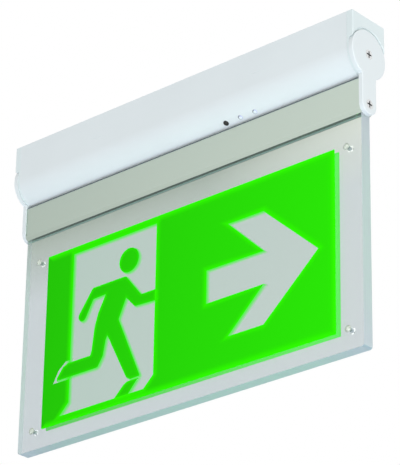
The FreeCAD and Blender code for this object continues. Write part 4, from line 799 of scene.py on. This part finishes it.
def glow_strip(name, outlines, level, face, ribbons, closed=True):
    """Flat ribbons along each outline. A ribbon is (width, peak, drift), in millimetres."""
    build = bmesh.new()
    fade = build.loops.layers.float_color.new("fade")
    height = (film_face + LAYER * level) * face
    for outline in outlines:
        for width, peak, drift in ribbons:
            far_row = [point + Vector(drift) for point in offset(outline, width)]
            rows = [[build.verts.new((film_centre.x + p.x * MM, height, film_centre.z + p.y * MM))
                     for p in row] for row in (outline, far_row)]
            for index in range(len(outline) - (0 if closed else 1)):
                after = (index + 1) % len(outline)
                quad = build.faces.new((rows[0][index], rows[0][after], rows[1][after], rows[1][index]))
                for loop in quad.loops:
                    shade = peak if loop.vert in (rows[0][index], rows[0][after]) else 0.0
                    loop[fade] = (shade, shade, shade, 1.0)
    blade_piece(name, build, GREEN_GLOW)


square = [Vector(corner) for corner in ((0, 0), (4, 0), (4, 4), (0, 4))]
print("a corner at 0, 0 moves outwards by 1 mm to", [round(v, 3) for v in offset(square, 1.0)[0]])

# %% Print both films
PALE_LEVEL, RUNNER_LEVEL = 1, 2
ABOVE = 0.5    # a ribbon floats half a layer above its print
STILL = (0, 0)
# the drift places the painted view of the rear film's edge
DRIFT = (3.2, -2.4)    # how far the rear film's edge seems to lie to the right and below, in millimetres
PALE_RIBBONS = ((5.0, 0.8, STILL), (-0.7, 0.7, DRIFT))
RUNNER_RIBBONS = ((-2.6, 0.35, STILL), (0.7, 0.7, DRIFT))
EDGE_RIBBONS = ((-6.0, 0.95, STILL),)

half_film = film_size / 2 / MM
# the outline starts and ends at the left edge, so an open ribbon leaves that edge without a glow
film_edge = [Vector((x, z)) for x, z in ((-half_film.x, -half_film.z), (half_film.x, -half_film.z),
                                         (half_film.x, half_film.z), (-half_film.x, half_film.z))]
for side, face in (("front", -1), ("rear", 1)):
    print_layer(f"{side}_pale_print", pale_outlines, PALE_LEVEL, face, PALE_INK)
    print_layer(f"{side}_runner_print", green_outlines, RUNNER_LEVEL, face, GREEN_INK)
    glow_strip(f"{side}_pale_glow", [doorway, arrow], PALE_LEVEL + ABOVE, face, PALE_RIBBONS)
    glow_strip(f"{side}_runner_glow", green_outlines, RUNNER_LEVEL + ABOVE, face, RUNNER_RIBBONS)
    glow_strip(f"{side}_edge_glow", [film_edge], ABOVE, face, EDGE_RIBBONS, closed=False)

# %% [markdown]
# ## Floor and light
# A pale floor lies far below the sign, as under a real ceiling. One plain white world would do, but it is so
# strong a lamp that every form looks flat. So floor and world are white where the camera, the glass or a
# reflection sees them, and dimmer where they only light the sign. Four large soft lamps give the form some
# shading. They are hidden from the camera and from glass, or the clear panel would show them as squares.

# %% Tell a look from a light
def seen_directly(tree):
    """1 for rays from the camera, through glass or off a glossy surface, and 0 for all others."""
    path = add(tree, "ShaderNodeLightPath")
    through = add(tree, "ShaderNodeMath", {"operation": "MAXIMUM"}, {
        0: path.outputs["Is Camera Ray"], 1: path.outputs["Is Transmission Ray"]})
    return add(tree, "ShaderNodeMath", {"operation": "MAXIMUM"}, {
        0: through, 1: path.outputs["Is Glossy Ray"]})


# %% Lay the floor
FLOOR_DROP = 3.5
FLOOR_SIZE = 30
bpy.ops.mesh.primitive_plane_add(size=FLOOR_SIZE, location=(0, 0, -FLOOR_DROP))
floor = bpy.context.object
floor.name = "floor"
floor_material, floor_tree, _ = start_material("pale_floor")
floor_paint = add(floor_tree, "ShaderNodeBsdfDiffuse", inputs={"Color": linear("B0B8BC")})
floor_glow = add(floor_tree, "ShaderNodeEmission", inputs={"Color": linear("FFFFFF"), "Strength": 1.0})
floor_mix = add(floor_tree, "ShaderNodeMixShader", inputs={
    0: seen_directly(floor_tree), 1: floor_paint, 2: floor_glow})
end_material(floor_material, floor_mix)
floor.data.materials.append(floor_material)

# %% Light the world
world = bpy.data.worlds.new("studio")
bpy.context.scene.world = world
world.use_nodes = True
world.node_tree.nodes.clear()
ambient = add(world.node_tree, "ShaderNodeBackground", inputs={"Color": linear("F8FAFA"), "Strength": 0.72})
white = add(world.node_tree, "ShaderNodeBackground", inputs={"Color": linear("FFFFFF"), "Strength": 1.0})
choice = add(world.node_tree, "ShaderNodeMixShader", inputs={
    0: seen_directly(world.node_tree), 1: ambient, 2: white})
add(world.node_tree, "ShaderNodeOutputWorld", inputs={"Surface": choice})
print("world:", world.name)

# %% Hang four soft lamps
def soft_lamp(name, place, size, watts, colour="FFFFFF"):
    """A square lamp that is aimed at the film."""
    data = bpy.data.lights.new(name, "AREA")
    data.color = linear(colour)[:3]
    data.shape = "SQUARE"
    data.size = size
    data.energy = watts
    lamp = bpy.data.objects.new(name, data)
    lamp.location = place
    lamp.visible_camera = False
    lamp.visible_transmission = False
    lamp.rotation_euler = (film_centre - Vector(place)).to_track_quat("-Z", "Y").to_euler()
    bpy.context.scene.collection.objects.link(lamp)
    print(name, "stands", round((film_centre - Vector(place)).length, 2), "m from the film")


soft_lamp("key_lamp", (0.9, -2.0, -1.4), 1.6, 24)
soft_lamp("side_lamp", (2.4, -0.6, -0.9), 1.4, 24)
soft_lamp("low_lamp", (0.7, -0.7, -2.6), 1.6, 20, "D8E4FF")
soft_lamp("rear_lamp", (-1.2, 2.4, -0.6), 1.8, 14)
bpy.context.scene.view_settings.view_transform = "Standard"
